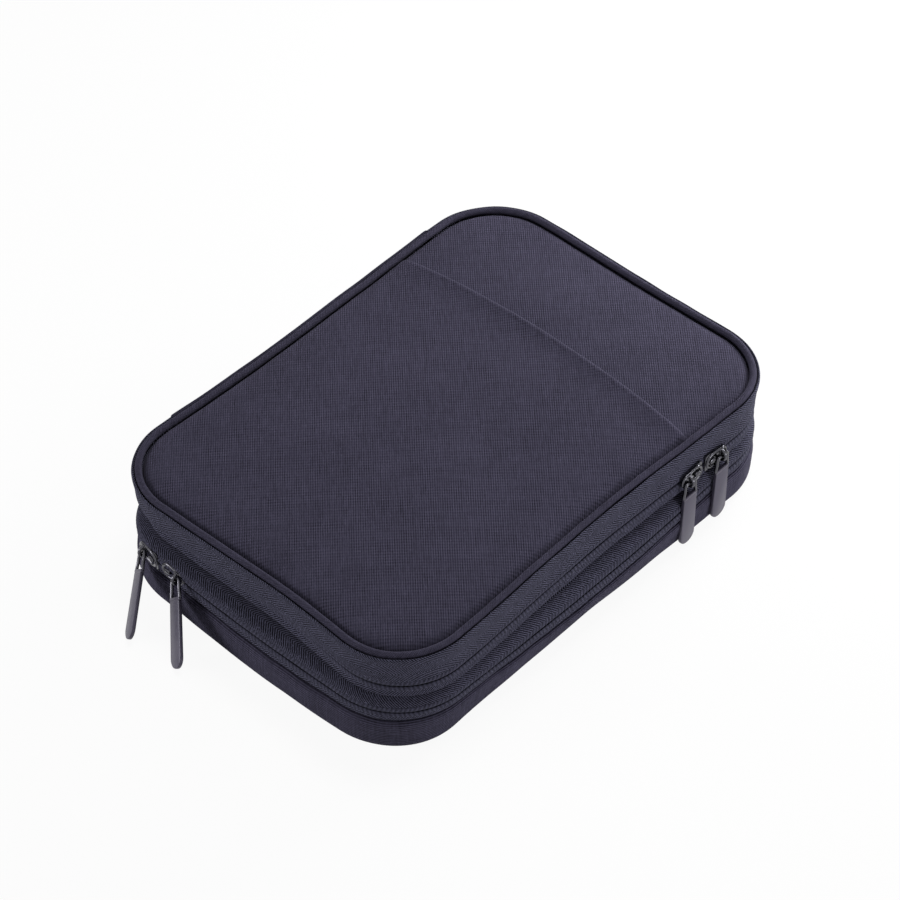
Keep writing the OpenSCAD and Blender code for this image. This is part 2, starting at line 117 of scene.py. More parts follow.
class ZipSizes(bpy.types.PropertyGroup):
    gap: size("Gap", "Clear gap between the two tapes of a zip", 0.64)
    pitch: size("Coil pitch", "Distance between the turns of the coil", 1.7)
    face: size("Tape face", "Distance of the tape's face in from the outer wall", 0.6)
    tape: size("Tape thickness", "Thickness of the zip tape", 0.7)
    coil: size("Coil", "Width of one half of the coil", 1.8)
    wire: size("Coil thread", "Diameter of the coil's thread", 0.5)
    slider: size("Slider length", "Length of a slider along its zip", 12.3)
    slider_w: size("Slider width", "Width of a slider at its shoulders", 8.2)
    slider_tail: size("Slider tail", "Width of a slider at its tail", 6.4)
    plate: size("Plate", "Thickness of a slider's plates", 1)
    clear: size("Clearance", "Gap between a slider and the tape", 0.25)
    bail: size("Bail bar", "Diameter of the bail's bar", 1.3)
    bail_half: size("Bail span", "Half the span of the bail's arch", 2.4)
    bail_back: size("Bail place", "Distance of the bail from the slider's middle", 2.4)
    pull: size("Pull length", "Length of a pull from its eye to its tip", 33.5)
    pull_w: size("Pull width", "Width of a pull's tab near its end", 8)
    pull_t: size("Pull thickness", "Thickness of a pull's tab", 1.5)
    eye: size("Eye length", "Inner length of a pull's eye", 6)
    eye_wire: size("Eye wire", "Diameter of the eye's wire", 1.3)


class CaseColours(bpy.types.PropertyGroup):
    shell: shade("Shell cloth", "Woven polyester of the shell", (0.050, 0.0463, 0.074))
    piping: shade("Piping cloth", "Cloth round the piping cord", (0.046, 0.0425, 0.068))
    tape: shade("Zip tape", "Herringbone tape", (0.050, 0.049, 0.076))
    coil: shade("Coil", "Nylon coil", (0.020, 0.020, 0.026))
    lining: shade("Lining", "Coated lining cloth", (0.060, 0.060, 0.072))
    trim: shade("Trim", "Binding tape and elastic", (0.026, 0.025, 0.034))
    net: shade("Net", "Knitted mesh", (0.024, 0.024, 0.030))
    thread: shade("Thread", "Sewing thread", (0.050, 0.047, 0.068))
    slider: shade("Slider", "Glossy black of the sliders, bails and eyes", (0.075, 0.074, 0.085))
    tab: shade("Pull tab", "Satin dark grey of the pull tabs", (0.060, 0.053, 0.083))
    floor: shade("Floor", "White studio floor", (0.9, 0.9, 0.9))


def case():
    return bpy.context.scene.case_sizes


def zips():
    return bpy.context.scene.case_zips


def colours():
    return bpy.context.scene.case_colours


# ---------------------------------------------------------------- making meshes

def mm(value):
    return value / MM


def shaded(mesh, sharp_deg):
    mesh.polygons.foreach_set("use_smooth", [True] * len(mesh.polygons))
    mesh.set_sharp_from_angle(angle=math.radians(sharp_deg))


def in_scene(name, data):
    thing = bpy.data.objects.new(name, data)
    bpy.context.scene.collection.objects.link(thing)
    return thing


def grid_faces(rows, across, wrap_rows=False, wrap_across=False, first=0):
    """Quads over a grid of points, as (faces, the row and column of each corner)."""
    down, over = np.arange(rows - (not wrap_rows)), np.arange(across - (not wrap_across))
    i, j = (k.ravel() for k in np.meshgrid(down, over, indexing="ij"))
    row = np.stack([i, i + 1, i + 1, i], 1)
    column = np.stack([j, j, j + 1, j + 1], 1)
    return first + (row % rows) * across + column % across, row, column


class Cloth:
    """Gathers the points and faces of one piece, with metres on the cloth for every corner of every face."""

    def __init__(self):
        self.points, self.faces, self.uv, self.count = [], [], [], 0

    def grid(self, points, u, v, wrap_rows=False, wrap_across=False, flip=False):
        """A sheet over a rows by across grid. u and v are metres on the cloth for each row and column.

        Returns the number of its first point.
        """
        rows, across = points.shape[:2]
        faces, row, column = grid_faces(rows, across, wrap_rows, wrap_across, self.count)
        u, v = np.asarray(u), np.asarray(v)
        if u.ndim == 1:
            corner = np.stack([u[row], v[column]], -1)
        else:
            corner = np.stack([u[row % rows, column % across], v[row % rows, column % across]], -1)
        if flip:
            faces, corner = faces[:, ::-1], corner[:, ::-1]
        self.points.append(points.reshape(-1, 3))
        self.faces += [tuple(int(k) for k in f) for f in faces]
        self.uv.append(corner.reshape(-1, 2))
        first = self.count
        self.count += rows * across
        return first

    def cap(self, indices, flip=False):
        """One flat face over a loop of points that are already there."""
        indices = [int(k) for k in indices]
        self.faces.append(tuple(indices[::-1] if flip else indices))
        at = np.concatenate(self.points)[self.faces[-1], :]
        self.uv.append(at[:, [0, 1]] if np.ptp(at[:, 2]) < MM else at[:, [1, 2]])

    def bar(self, points, u, v):
        """A closed section that runs along the rows, with both of its ends closed."""
        rows, across = points.shape[:2]
        first = self.grid(points, u, v, wrap_across=True)
        self.cap(first + np.arange(across))
        self.cap(first + (rows - 1) * across + np.arange(across), flip=True)

    def slab(self, top, base, u, v, thick):
        """A flat piece between two sheets of points, with its four edges closed."""
        self.grid(top, u, v)
        self.grid(base, u, v, flip=True)
        edge = np.array([0, thick])
        for column in (0, -1):
            self.grid(np.stack([top[:, column], base[:, column]], 1), u, edge, flip=column == 0)
        for row in (0, -1):
            self.grid(np.stack([top[row], base[row]], 1), v, edge, flip=row == -1)

    def piece(self, name, sharp_deg=SHARP_DEG):
        mesh = bpy.data.meshes.new(name)
        mesh.from_pydata([tuple(p) for p in np.concatenate(self.points)], [], self.faces)
        layer = mesh.uv_layers.new(name="Cloth")
        layer.data.foreach_set("uv", np.asarray(np.concatenate(self.uv), np.float32).ravel())
        shaded(mesh, sharp_deg)
        mesh.validate()
        mesh.update()
        return in_scene(name, mesh)

    def closed_piece(self, name, weld=False, sharp_deg=SHARP_DEG):
        """The piece with every face turned outwards and, with weld, its seams joined."""
        return face_out(self.piece(name), weld, sharp_deg)


def face_out(piece, weld=False, sharp_deg=SHARP_DEG):
    """Turns every face of a closed piece outwards, after joining points that lie on each other."""
    work = bmesh.new()
    work.from_mesh(piece.data)
    if weld:
        bmesh.ops.remove_doubles(work, verts=work.verts, dist=WELD_MM * MM)
        bmesh.ops.dissolve_degenerate(work, edges=work.edges, dist=WELD_MM * MM / 4)
    bmesh.ops.recalc_face_normals(work, faces=work.faces)
    work.to_mesh(piece.data)
    work.free()
    piece.data.set_sharp_from_angle(angle=math.radians(sharp_deg))
    return piece


def along(points, closed=False):
    """Length along a line of points, from 0. A closed line ends where it began."""
    if closed:
        points = np.vstack([points, points[:1]])
    step = np.linalg.norm(np.diff(points, axis=0), axis=1)
    return np.concatenate([[0.0], np.cumsum(step)])


def smooth_line(points, between=4, closed=False):
    """A soft line through the points."""
    p = np.asarray(points, float)
    n = len(p)
    spans = n if closed else n - 1
    out = []
    for k in range(spans):
        if closed:
            a, b, c, d = p[(k - 1) % n], p[k], p[(k + 1) % n], p[(k + 2) % n]
        else:
            a, b, c, d = p[max(k - 1, 0)], p[k], p[k + 1], p[min(k + 2, n - 1)]
        for t in np.arange(between) / between:
            out.append(0.5 * (2 * b + (c - a) * t + (2 * a - 5 * b + 4 * c - d) * t * t
                              + (3 * b - a - 3 * c + d) * t ** 3))
    if not closed:
        out.append(p[-1])
    return np.array(out)


def arc_line(x, y, radius, from_deg, to_deg, count):
    """Points on an arc that goes down from the level of its middle."""
    return [(x + radius * math.cos(a), y - radius * math.sin(a))
            for a in np.radians(np.linspace(from_deg, to_deg, count))]


def ripple(s, around, seed, waves, height):
    """A wavy line that closes on itself after around. waves are the numbers of waves in it."""
    draw = np.random.default_rng(seed)
    turn = 2 * math.pi
    line = sum(draw.uniform(0.5, 1.0) * np.sin(turn * (w * s / around + draw.uniform())) for w in waves)
    return height * line / math.sqrt(len(waves))


def tube(cloth, centre, radius, sides=10, closed=False, beside=None):
    """A round tube along a line of points. beside is a direction across it, for every point."""
    centre = np.asarray(centre, float)
    if closed:
        tangent = np.roll(centre, -1, 0) - np.roll(centre, 1, 0)
    else:
        tangent = np.gradient(centre, axis=0)
    tangent /= np.linalg.norm(tangent, axis=1)[:, None]
    if beside is None:
        upright = abs(tangent[:, 2]).max() >= 0.95
        beside = np.array([0.3, 0.9, 0.31]) if upright else np.array([0.0, 0.0, 1.0])
    side = np.cross(tangent, beside)
    side /= np.linalg.norm(side, axis=1)[:, None]
    lift = np.cross(side, tangent)
    turn = 2 * math.pi * np.arange(sides) / sides
    ring = (centre[:, None] + radius * np.cos(turn)[None, :, None] * side[:, None]
            + radius * np.sin(turn)[None, :, None] * lift[:, None])
    girth = radius * 2 * math.pi * np.arange(sides + 1) / sides
    if closed:
        cloth.grid(ring, along(centre, True), girth, wrap_rows=True, wrap_across=True)
    else:
        cloth.bar(ring, along(centre), girth)


# ---------------------------------------------------------------- the way round the case's wall

class Route:
    """Stations round the outer wall, from the spine's far end past the opening side to its near end."""

    def __init__(self, step=2.0, closed=True):
        c = case()
        half_w, half_l, r = c.width / 2, c.length / 2, c.corner
        flat_w, flat_l = half_w - r, half_l - r
        end = STRIP_HIGH[1] * MM
        legs = []

        def straight(x0, y0, x1, y1, nx, ny):
            n = max(2, round(math.hypot(x1 - x0, y1 - y0) / (step * MM)))
            t = np.arange(n) / n
            legs.append(np.stack([x0 + (x1 - x0) * t, y0 + (y1 - y0) * t, 0 * t + nx, 0 * t + ny], 1))

        def corner(cx, cy, from_deg):
            n = max(6, round(r * math.pi / 2 / (min(step, CORNER_STEP_MM) * MM)))
            a = math.radians(from_deg) - math.pi / 2 * np.arange(n) / n
            legs.append(np.stack([cx + r * np.cos(a), cy + r * np.sin(a), np.cos(a), np.sin(a)], 1))

        straight(-half_w, end, -half_w, flat_l, -1, 0)
        corner(-flat_w, flat_l, 180)
        straight(-flat_w, half_l, flat_w, half_l, 0, 1)
        corner(flat_w, flat_l, 90)
        straight(half_w, flat_l, half_w, -flat_l, 1, 0)
        corner(flat_w, -flat_l, 0)
        straight(flat_w, -half_l, -flat_w, -half_l, 0, -1)
        corner(-flat_w, -flat_l, -90)
        straight(-half_w, -flat_l, -half_w, -end, -1, 0)
        if closed:
            straight(-half_w, -end, -half_w, end, -1, 0)
        table = np.concatenate(legs)
        if not closed:
            table = np.vstack([table, [-half_w, -end, -1, 0]])
        self.x, self.y, self.nx, self.ny = table.T
        self.s = along(table[:, :2], closed)
        self.around = 4 * (flat_w + flat_l) + 2 * math.pi * r
        soft = soft_shape(self.stations, flat_w, flat_l, r, end)
        self.lid, self.waist, self.tray, self.tuck, self.belly = soft

    @property
    def stations(self):
        return self.s[: len(self.x)]

    def resampled(self, step_mm):
        """The same open way with stations an even, short distance apart."""
        fine = Route.__new__(Route)
        fine.around = self.around
        fine.s = np.linspace(0, self.s[-1], int(self.s[-1] / (step_mm * MM)))
        for name in ("x", "y", "nx", "ny", "lid", "waist", "tray", "tuck", "belly"):
            setattr(fine, name, np.interp(fine.s, self.s, getattr(self, name)))
        return fine


def soft_shape(s, flat_w, flat_l, r, end):
    """How far lid, waist, tray and belly stand out from the plain wall, and how far the valley tucks in."""
    arc, lead = r * math.pi / 2, flat_l - end
    far, right = lead + arc, lead + 2 * arc + 2 * flat_w
    near = right + 2 * flat_l + arc
    back = near + 2 * flat_w + arc
    knots = [  # place along the way, then mm at the lid, the waist, the tray, the valley's tuck and the belly
        (-end, -1.4, 0, 0, 0, 0),
        (-0.5 * end, -0.5, 0, 0, 0, 0),
        (0, 0.5, 0.2, 0, 0.3, 0),
        (lead + arc / 2, 0.3, 0.3, 0, 0.8, 0),
        (far, 0.6, 0, 0, 0.8, 0),
        (far + flat_w, -0.2, 0, 0, 0.8, 0.5),
        (right - arc, 0.2, 0.3, 0, 0.8, 0.5),
        (right - arc / 2, 0.8, 1.2, 0.8, 0.8, 0.2),
        (right, -0.4, 0, 0.1, 0, -0.1),
        (right + 20 * MM, -0.5, 0, -0.4, 0, 1.2),
        (right + 0.5 * flat_l, -1.5, -0.4, -1.1, 0, 3.2),
        (right + 0.75 * flat_l, -2.1, -0.6, -1.6, 0.6, 4.2),
        (right + flat_l, -2.6, -1.2, -2.2, 0.8, 4.9),
        (right + 1.5 * flat_l, -1.6, -0.8, -2.5, 0.6, 3.9),
        (right + 1.75 * flat_l, -0.7, 0, -2.5, 0, 2.4),
        (right + 1.9 * flat_l, -0.7, 0, -2.5, 0, 1.6),
        (right + 2 * flat_l, -0.6, 0, -2.4, 0, 1.0),
        (near - arc / 2, 0, 0.1, -0.7, 0.3, 0),
        (near, -0.6, 0.2, 0.6, 1.2, 0),
        (near + 0.5 * flat_w, -2.4, 0.4, 2.8, 3.2, 0),
        (near + flat_w, -1.9, 1.1, 2.8, 4.2, 0),
        (near + 1.5 * flat_w, -0.9, 1.3, 2.0, 4.2, 0),
        (near + 2 * flat_w, -0.2, 0.7, 0.9, 4.2, 0),
        (back - arc / 2, 0.1, 0.9, 0.8, 4.5, 0),
        (back, -0.2, 0.2, 0, 2.4, 0),
        (back + lead, -0.8, 0, 0, 0.5, 0),
        (back + lead + 0.5 * end, -1.9, 0, 0, 0, 0),
        (back + lead + end, -1.4, 0, 0, 0, 0)]
    place, *values = np.array(knots).T
    round_off_mm, samples = 14, 9
    nudge = np.linspace(-round_off_mm, round_off_mm, samples)[:, None] * MM
    total = place[-1] - place[0]
    way = (s + nudge - place[0]) % total + place[0]
    return [case().slack * MM * np.interp(way, place, value).mean(0) for value in values]


def stand_out(route, up):
    """How far the soft wall stands out from the plain one, for every station and height."""
    c = case()
    rim, low, valley, high, top = c.rim, c.lower_zip, c.valley, c.upper_zip, c.lid_edge
    middle = (low + valley) / 2
    lid = np.interp(up, [low, valley, high, top - 3 * MM, top], [0, 0.35, 0.5, 0.9, 1])
    waist = np.interp(up, [0.8 * rim, low, middle, valley, high, top - 4 * MM], [0, 0.5, 1, 0.6, 0.2, 0])
    tray = np.interp(up, [0.7 * rim, rim, low, valley], [1, 0.85, 0.4, 0])
    belly = np.interp(up, [0.15 * rim, rim, low, middle, valley, high], [0, 1, 0.74, 0.5, 0.15, 0])
    tuck_at = [middle, valley - 1.5 * MM, valley, high - 2 * MM,
               high, high + 1.5 * MM, high + 3 * MM, high + 5 * MM]
    tuck = np.interp(up, tuck_at, [0, 0.5, 0.9, 1, 0.9, 0.55, 0.2, 0])
    return (route.lid[:, None] * lid + route.waist[:, None] * waist + route.tray[:, None] * tray
            + route.belly[:, None] * belly - route.tuck[:, None] * tuck)


def seam_wander(s, around, up):
    """How far a seam at this height strays up or down along the wall."""
    c = case()
    heights = [0.1 * c.rim, 0.75 * c.rim, c.rim, c.lower_zip, c.valley, c.upper_zip,
               c.lid_edge, 2 * c.lid_edge]
    fade = np.interp(up, heights, [0, 0.5, 1.0, 0.35, 1.0, 0.35, 0.7, 0.6])
    slow = ripple(s, around, 3, (3, 5, 8, 11), 0.22 * MM)
    quick = ripple(s, around, 4, (17, 23, 31, 44), 0.10 * MM)
    tilt = ripple(s, around, 5, (4, 7, 13), 0.15 * MM)
    tilt = tilt * np.interp(up, [0, c.valley, c.lid_edge], [1, -0.4, 1])
    return fade * (slow + quick + tilt)


def soft_wall(s, around, up, seed, height_mm):
    """Slow hollows and swellings in a cloth wall."""
    a = ripple(s, around, seed, (5, 9, 14, 19), height_mm * MM)
    b = ripple(s, around, seed + 1, (7, 12, 22, 37), 0.6 * height_mm * MM)
    mix = 0.5 + 0.5 * np.sin(up / (6 * MM) + seed)
    return a * mix + b * (1 - mix)


def on_wall(route, out, up, soft_seed=None, soft_mm=0.22):
    """Points at out from the wall and at height up, for every station and each point of a profile."""
    s = route.stations[:, None]
    shape = (len(route.x), np.shape(up)[-1])
    out, up = np.broadcast_to(out, shape), np.broadcast_to(up, shape)
    reach = out + stand_out(route, up)
    if soft_seed is not None:
        reach = reach + soft_wall(s, route.around, up, soft_seed, soft_mm)
    z = up + seam_wander(s, route.around, up)
    return np.stack([route.x[:, None] + route.nx[:, None] * reach,
                     route.y[:, None] + route.ny[:, None] * reach, z], -1)


def profile_on_wall(route, line, soft_seed=None, soft_mm=0.22):
    """Points of one profile (out, height), in metres, at every station."""
    return on_wall(route, line[None, :, 0], line[None, :, 1], soft_seed, soft_mm)


def wall_line(out_mm, level_mm, route):
    """One line round the wall."""
    return on_wall(route, np.array([[out_mm * MM]]), np.array([[level_mm * MM]]))[:, 0]


def past_wall_mm(low):
    """How far a node stands out from the plain wall, from the lower corner of its box."""
    return -low[0] - mm(case().width) / 2


def inset_of(x, y):
    """How far in from the case's outline a place is."""
    c = case()
    qx, qy = np.abs(x) - (c.width / 2 - c.corner), np.abs(y) - (c.length / 2 - c.corner)
    away = np.hypot(np.maximum(qx, 0), np.maximum(qy, 0)) + np.minimum(np.maximum(qx, qy), 0)
    return c.corner - away


def ring_sheet(border, rings, near=()):
    """Rings of points from a closed border to the middle line. near lists distances in from the border."""
    c = case()
    reach = c.length / 2 - c.width / 2
    y = np.clip(border[:, 1], -reach, reach)
    middle = np.stack([0 * border[:, 0], y, border[:, 2]], 1)
    span = np.linalg.norm((border - middle)[:, :2], axis=1)
    first = [1 - np.minimum(d / span, 0.9) for d in near]
    start = first[-1] if first else np.ones(len(border))
    shares = [np.ones(len(border))] + first + [start * (1 - k / rings) for k in range(1, rings + 1)]
    share = np.stack(shares, 1)[..., None]
    sheet = middle[:, None] + (border - middle)[:, None] * share
    step = reach / 6
    sheet[:, -1, 1] = step * np.round(y / step)
    return sheet


# ---------------------------------------------------------------- finishes

class Finish:
    """A finish built from nodes round one shader."""

    def __init__(self, name, rough, metallic=0.0, sheen=0.0, specular=0.5):
        self.material = bpy.data.materials.new(name)
        self.material.use_nodes = True
        self.nodes = self.material.node_tree.nodes
        self.links = self.material.node_tree.links
        self.shader = self.nodes["Principled BSDF"]
        self.shader.inputs["Roughness"].default_value = rough
        self.shader.inputs["Metallic"].default_value = metallic
        self.shader.inputs["Specular IOR Level"].default_value = specular
        self.shader.inputs["Sheen Weight"].default_value = sheen

    def feed(self, value, socket):
        """Links a socket's value, or sets a plain one."""
        if hasattr(value, "is_linked"):
            self.links.new(value, socket)
        else:
            socket.default_value = value

    def maths(self, operation, a, b=0.0, c=0.0):
        node = self.nodes.new("ShaderNodeMath")
        node.operation = operation
        for value, socket in zip((a, b, c), node.inputs):
            self.feed(value, socket)
        return node.outputs[0]

    def total(self, *terms):
        out = terms[0]
        for term in terms[1:]:
            out = self.maths("ADD", out, term)
        return out

    def scaled(self, value, factor, shift=0.0):
        return self.maths("MULTIPLY_ADD", value, factor, shift)

    def mix(self, *parts):
        """Adds up parts, each as (value, share)."""
        return self.total(*[self.scaled(value, share) for value, share in parts])

    def tone(self, *parts, middle=0.5):
        """Adds up parts, each as (value, share, mean), round a middle tone."""
        shift = middle - sum(share * mean for _, share, mean in parts)
        value, share, _ = parts[0]
        rest = [self.scaled(value, share) for value, share, _ in parts[1:]]
        return self.total(self.scaled(value, share, shift), *rest)

    def cloth_place(self):
        """Metres along and across the cloth."""
        uv = self.nodes.new("ShaderNodeUVMap")
        uv.uv_map = "Cloth"
        split = self.nodes.new("ShaderNodeSeparateXYZ")
        self.links.new(uv.outputs[0], split.inputs[0])
        return split.outputs[0], split.outputs[1]

    def thread_wave(self, place, pitch_mm):
        """Threads side by side, from -1 to 1."""
        return self.maths("SINE", self.scaled(place, 2 * math.pi / (pitch_mm * MM)))

    def off_middle(self, place, repeat):
        """How far a place is from the middle of its repeat, from 0 to 0.5."""
        share = self.maths("FRACT", self.scaled(place, 1 / repeat))
        return self.maths("ABSOLUTE", self.scaled(share, 1.0, -0.5))

    def painted_glints(self, grain, factor, threshold):
        """Painted glints: the brightest grains only, as how far factor times the grain is past the threshold.
        """
        return self.maths("MAXIMUM", self.scaled(grain, factor, -threshold), 0.0)

    def noise(self, vector, scale, detail):
        noise = self.nodes.new("ShaderNodeTexNoise")
        self.links.new(vector, noise.inputs["Vector"])
        noise.inputs["Scale"].default_value = scale
        noise.inputs["Detail"].default_value = detail
        return noise.outputs[0]

    def grain(self, u, v, along_mm, across_mm, detail=2.0, seed=0.0):
        """Noise whose grains have their own length and width on the cloth, from 0 to 1."""
        join = self.nodes.new("ShaderNodeCombineXYZ")
        self.feed(self.scaled(u, 1 / (along_mm * MM)), join.inputs[0])
        self.feed(self.scaled(v, 1 / (across_mm * MM)), join.inputs[1])
        join.inputs[2].default_value = seed
        return self.noise(join.outputs[0], 1.0, detail)

    def solid_grain(self, size_mm, detail=2.0):
        """Noise in the object's own space, from 0 to 1."""
        place = self.nodes.new("ShaderNodeTexCoord")
        return self.noise(place.outputs["Object"], 1 / (size_mm * MM), detail)

    def tint(self, amount, colour, dark, light):
        """Colours the surface from a darker to a lighter tone of one colour."""
        ramp = self.nodes.new("ShaderNodeMix")
        ramp.data_type = "RGBA"
        ramp.clamp_factor = True
        self.feed(amount, ramp.inputs[0])
        ramp.inputs[6].default_value = tuple(v * dark for v in colour) + (1.0,)
        ramp.inputs[7].default_value = tuple(min(1.0, v * light) for v in colour) + (1.0,)
        self.links.new(ramp.outputs[2], self.shader.inputs["Base Color"])

    def relief(self, height, depth_mm, strength):
        bump = self.nodes.new("ShaderNodeBump")
        bump.inputs["Strength"].default_value = strength
        bump.inputs["Distance"].default_value = depth_mm * MM
        self.links.new(height, bump.inputs["Height"])
        self.links.new(bump.outputs[0], self.shader.inputs["Normal"])

    def roughness(self, amount, low, high):
        self.links.new(self.scaled(amount, high - low, low), self.shader.inputs["Roughness"])


def woven_cloth(name, colour, bias=False, warp_mm=1.2, weft_mm=1.9, upright=0.7, firm=0.42):
    """Plain weave with slubs in both threads and a mottled dye.

    bias turns the threads by 45 degrees, upright is the share of the threads that stand up the wall, and
    firm is how strongly the weave shows in the colour, partly as the threads' own tones and partly as a
    painted highlight on the raised threads.
    """
    f = Finish(name, 0.88, sheen=0.02, specular=0.03)
    u, v = f.cloth_place()
    if bias:
        u, v = f.maths("ADD", u, v), f.maths("SUBTRACT", u, v)
    warp = f.grain(u, v, 0.9, 8.0, detail=3, seed=1.5)
    weft = f.grain(u, v, 12.0, 1.1, detail=3, seed=4.5)
    fleck = f.grain(u, v, 0.7, 1.1, seed=7.5)
    dye = f.grain(u, v, 30.0, 30.0, seed=9.5)
    patch = f.maths("MAXIMUM", f.scaled(f.grain(u, v, 5.0, 9.0, seed=12.5), 2.2, -0.35), 0.2)
    rows = f.mix((f.thread_wave(u, warp_mm), upright), (f.thread_wave(v, weft_mm), 1 - upright))
    weave = f.maths("MULTIPLY", rows, patch)
    # the tone paints a highlight on the raised threads of the weave, and painted glints on the brightest
    # flecks, over the threads' own slubs and dye
    tone = f.tone((weave, firm, 0), (warp, 0.5, 0.5), (weft, 0.3, 0.5), (fleck, 0.3, 0.5), (dye, 0.2, 0.5),
                  (f.painted_glints(fleck, 3.0, 2.0), 1, 0.03))
    f.tint(tone, colour, 0.3, 1.7)
    f.relief(f.mix((rows, 0.6), (warp, 0.8), (weft, 0.5)), 0.15, 0.8)
    return f.material


def herringbone_tape(name, colour):
    """Twill tape whose ribs run in long chevrons along the zip."""
    band, lean, rib_mm = 9.6 * MM, 0.55, 1.1
    f = Finish(name, 0.85, sheen=0.02, specular=0.04)
    u, v = f.cloth_place()
    slant = f.total(u, f.scaled(f.off_middle(v, band), 2 * band * lean))
    rib = f.thread_wave(slant, rib_mm)
    thread = f.grain(slant, v, 0.5, 1.6, detail=3, seed=2.5)
    fleck = f.grain(u, v, 0.55, 0.55, detail=1, seed=8.5)
    mottle = f.grain(u, v, 9.0, 4.0, seed=5.5)
    # the ribs lighten and darken the colour, partly as the tape's own tone and partly as painted light and
    # shade on the twill ribs; the brightest flecks are painted glints
    firm = f.maths("MULTIPLY", rib, f.scaled(thread, 1.4))
    tone = f.tone((firm, 1.1, 0), (thread, 0.6, 0.5), (fleck, 0.7, 0.5), (mottle, 0.3, 0.5),
                  (f.painted_glints(fleck, 6.0, 3.6), 1, 0.03))
    f.tint(tone, colour, 0.15, 1.85)
    f.relief(f.mix((rib, 0.3), (thread, 0.7), (fleck, 0.5)), 0.35, 0.8)
    return f.material


def stitched_edge(name, colour):
    """The tape's folded edge over the coil, where every turn of the coil is sewn down."""
    f = Finish(name, 0.82, sheen=0.02, specular=0.05)
    u, v = f.cloth_place()
    turn = f.thread_wave(f.total(u, f.scaled(v, 0.35)), mm(zips().pitch))
    thread = f.grain(u, v, 0.4, 0.9, detail=3, seed=3.5)
    f.tint(f.tone((turn, 0.2, 0), (thread, 0.7, 0.5), middle=0.4), colour, 0.3, 1.9)
    f.relief(f.mix((turn, 0.2), (thread, 0.7)), 0.22, 0.8)
    return f.material


def ribbed_tape(name, colour, rib_mm):
    """Grosgrain or elastic with fine ribs across its length."""
    f = Finish(name, 0.85, sheen=0.02, specular=0.06)
    u, v = f.cloth_place()
    rib = f.thread_wave(u, rib_mm)
    thread = f.grain(u, v, 0.5, 2.5, detail=3, seed=3.5)
    f.tint(f.tone((rib, 0.25, 0), (thread, 0.7, 0.5)), colour, 0.6, 1.5)
    f.relief(f.mix((rib, 0.5), (thread, 0.3)), 0.2, 0.7)
    return f.material


def lining_cloth(name, colour):
    """Coated lining with a small square grid in the weave."""
    square, bar_from = 4.0 * MM, 0.44
    f = Finish(name, 0.55, specular=0.4)
    u, v = f.cloth_place()
    bars = [f.maths("GREATER_THAN", f.off_middle(place, square), bar_from) for place in (u, v)]
    grid = f.maths("MAXIMUM", *bars)
    crease = f.grain(u, v, 30.0, 22.0, detail=4, seed=6.5)
    thread = f.grain(u, v, 0.5, 0.5, detail=1, seed=2.5)
    f.tint(f.tone((grid, 0.25, 0), (crease, 0.6, 0.5), (thread, 0.5, 0.5)), colour, 0.7, 1.3)
    f.relief(f.mix((grid, 0.15), (crease, 1.5), (thread, 0.05)), 0.6, 0.5)
    return f.material


def coil_nylon(name, colour):
    f = Finish(name, 0.34)
    grain = f.solid_grain(0.9)
    f.tint(grain, colour, 0.75, 1.3)
    f.roughness(grain, 0.28, 0.45)
    return f.material


def knitted_thread(name, colour):
    f = Finish(name, 0.7, specular=0.3)
    grain = f.solid_grain(0.5, detail=3)
    f.tint(grain, colour, 0.6, 1.5)
    f.relief(grain, 0.1, 0.6)
    return f.material


def lacquered_metal(name, colour, gloss, dull, metallic, specular, relief_mm):
    """Smooth lacquer over cast metal. gloss and dull are the roughness where it is smoothest and least so."""
    f = Finish(name, gloss, metallic=metallic, specular=specular)
    cloudy = f.solid_grain(2.2, detail=3)
    fine = f.solid_grain(0.25)
    f.tint(f.mix((cloudy, 0.7), (fine, 0.3)), colour, 0.85, 1.18)
    f.roughness(f.mix((cloudy, 0.6), (fine, 0.4)), gloss, dull)
    f.relief(f.mix((cloudy, 1.0), (fine, 0.12)), relief_mm, 0.6)
    return f.material


FINISHES = {  # each with its maker, the name of its colour and its options
    "shell_weave": (woven_cloth, "shell", {"bias": True}),
    "tray_weave": (woven_cloth, "shell", {"warp_mm": 1.5, "weft_mm": 0.95, "upright": 0.12}),
    "spine_weave": (woven_cloth, "shell", {"warp_mm": 1.5, "weft_mm": 0.95, "upright": 0.12}),
    "piping_weave": (woven_cloth, "piping", {"bias": True, "warp_mm": 0.9, "weft_mm": 0.9, "firm": 0.3}),
    "zip_tape_twill": (herringbone_tape, "tape", {}),
    "zip_edge_stitch": (stitched_edge, "tape", {}),
    "zip_coil_nylon": (coil_nylon, "coil", {}),
    "lining_grid": (lining_cloth, "lining", {}),
    "binding_rib": (ribbed_tape, "trim", {"rib_mm": 0.9}),
    "elastic_rib": (ribbed_tape, "trim", {"rib_mm": 1.3}),
    "net_knit": (knitted_thread, "net", {}),
    "sewing_thread": (knitted_thread, "thread", {}),
    "slider_gloss": (lacquered_metal, "slider", {
        "gloss": 0.12, "dull": 0.22, "metallic": 1.0, "specular": 0.5, "relief_mm": 0.006}),
    "tab_satin": (lacquered_metal, "tab", {
        "gloss": 0.30, "dull": 0.44, "metallic": 0.15, "specular": 0.35, "relief_mm": 0.02}),
}


def finish(name):
    """The named finish, made once."""
    if name not in bpy.data.materials:
        maker, colour, options = FINISHES[name]
        maker(name, tuple(getattr(colours(), colour)), **options)
    return bpy.data.materials[name]


def dressed(piece, finish_name, slot_name, body, *nodes):
    """Gives a piece its finish, hides the nodes that it stands for, and lets it ride on its body; slot_name
    is not used.
    """
    piece.data.materials.clear()
    piece.data.materials.append(finish(finish_name))
    if nodes:
        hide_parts(*nodes)
    if body:
        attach(piece, body)
    return piece


# ---------------------------------------------------------------- tray

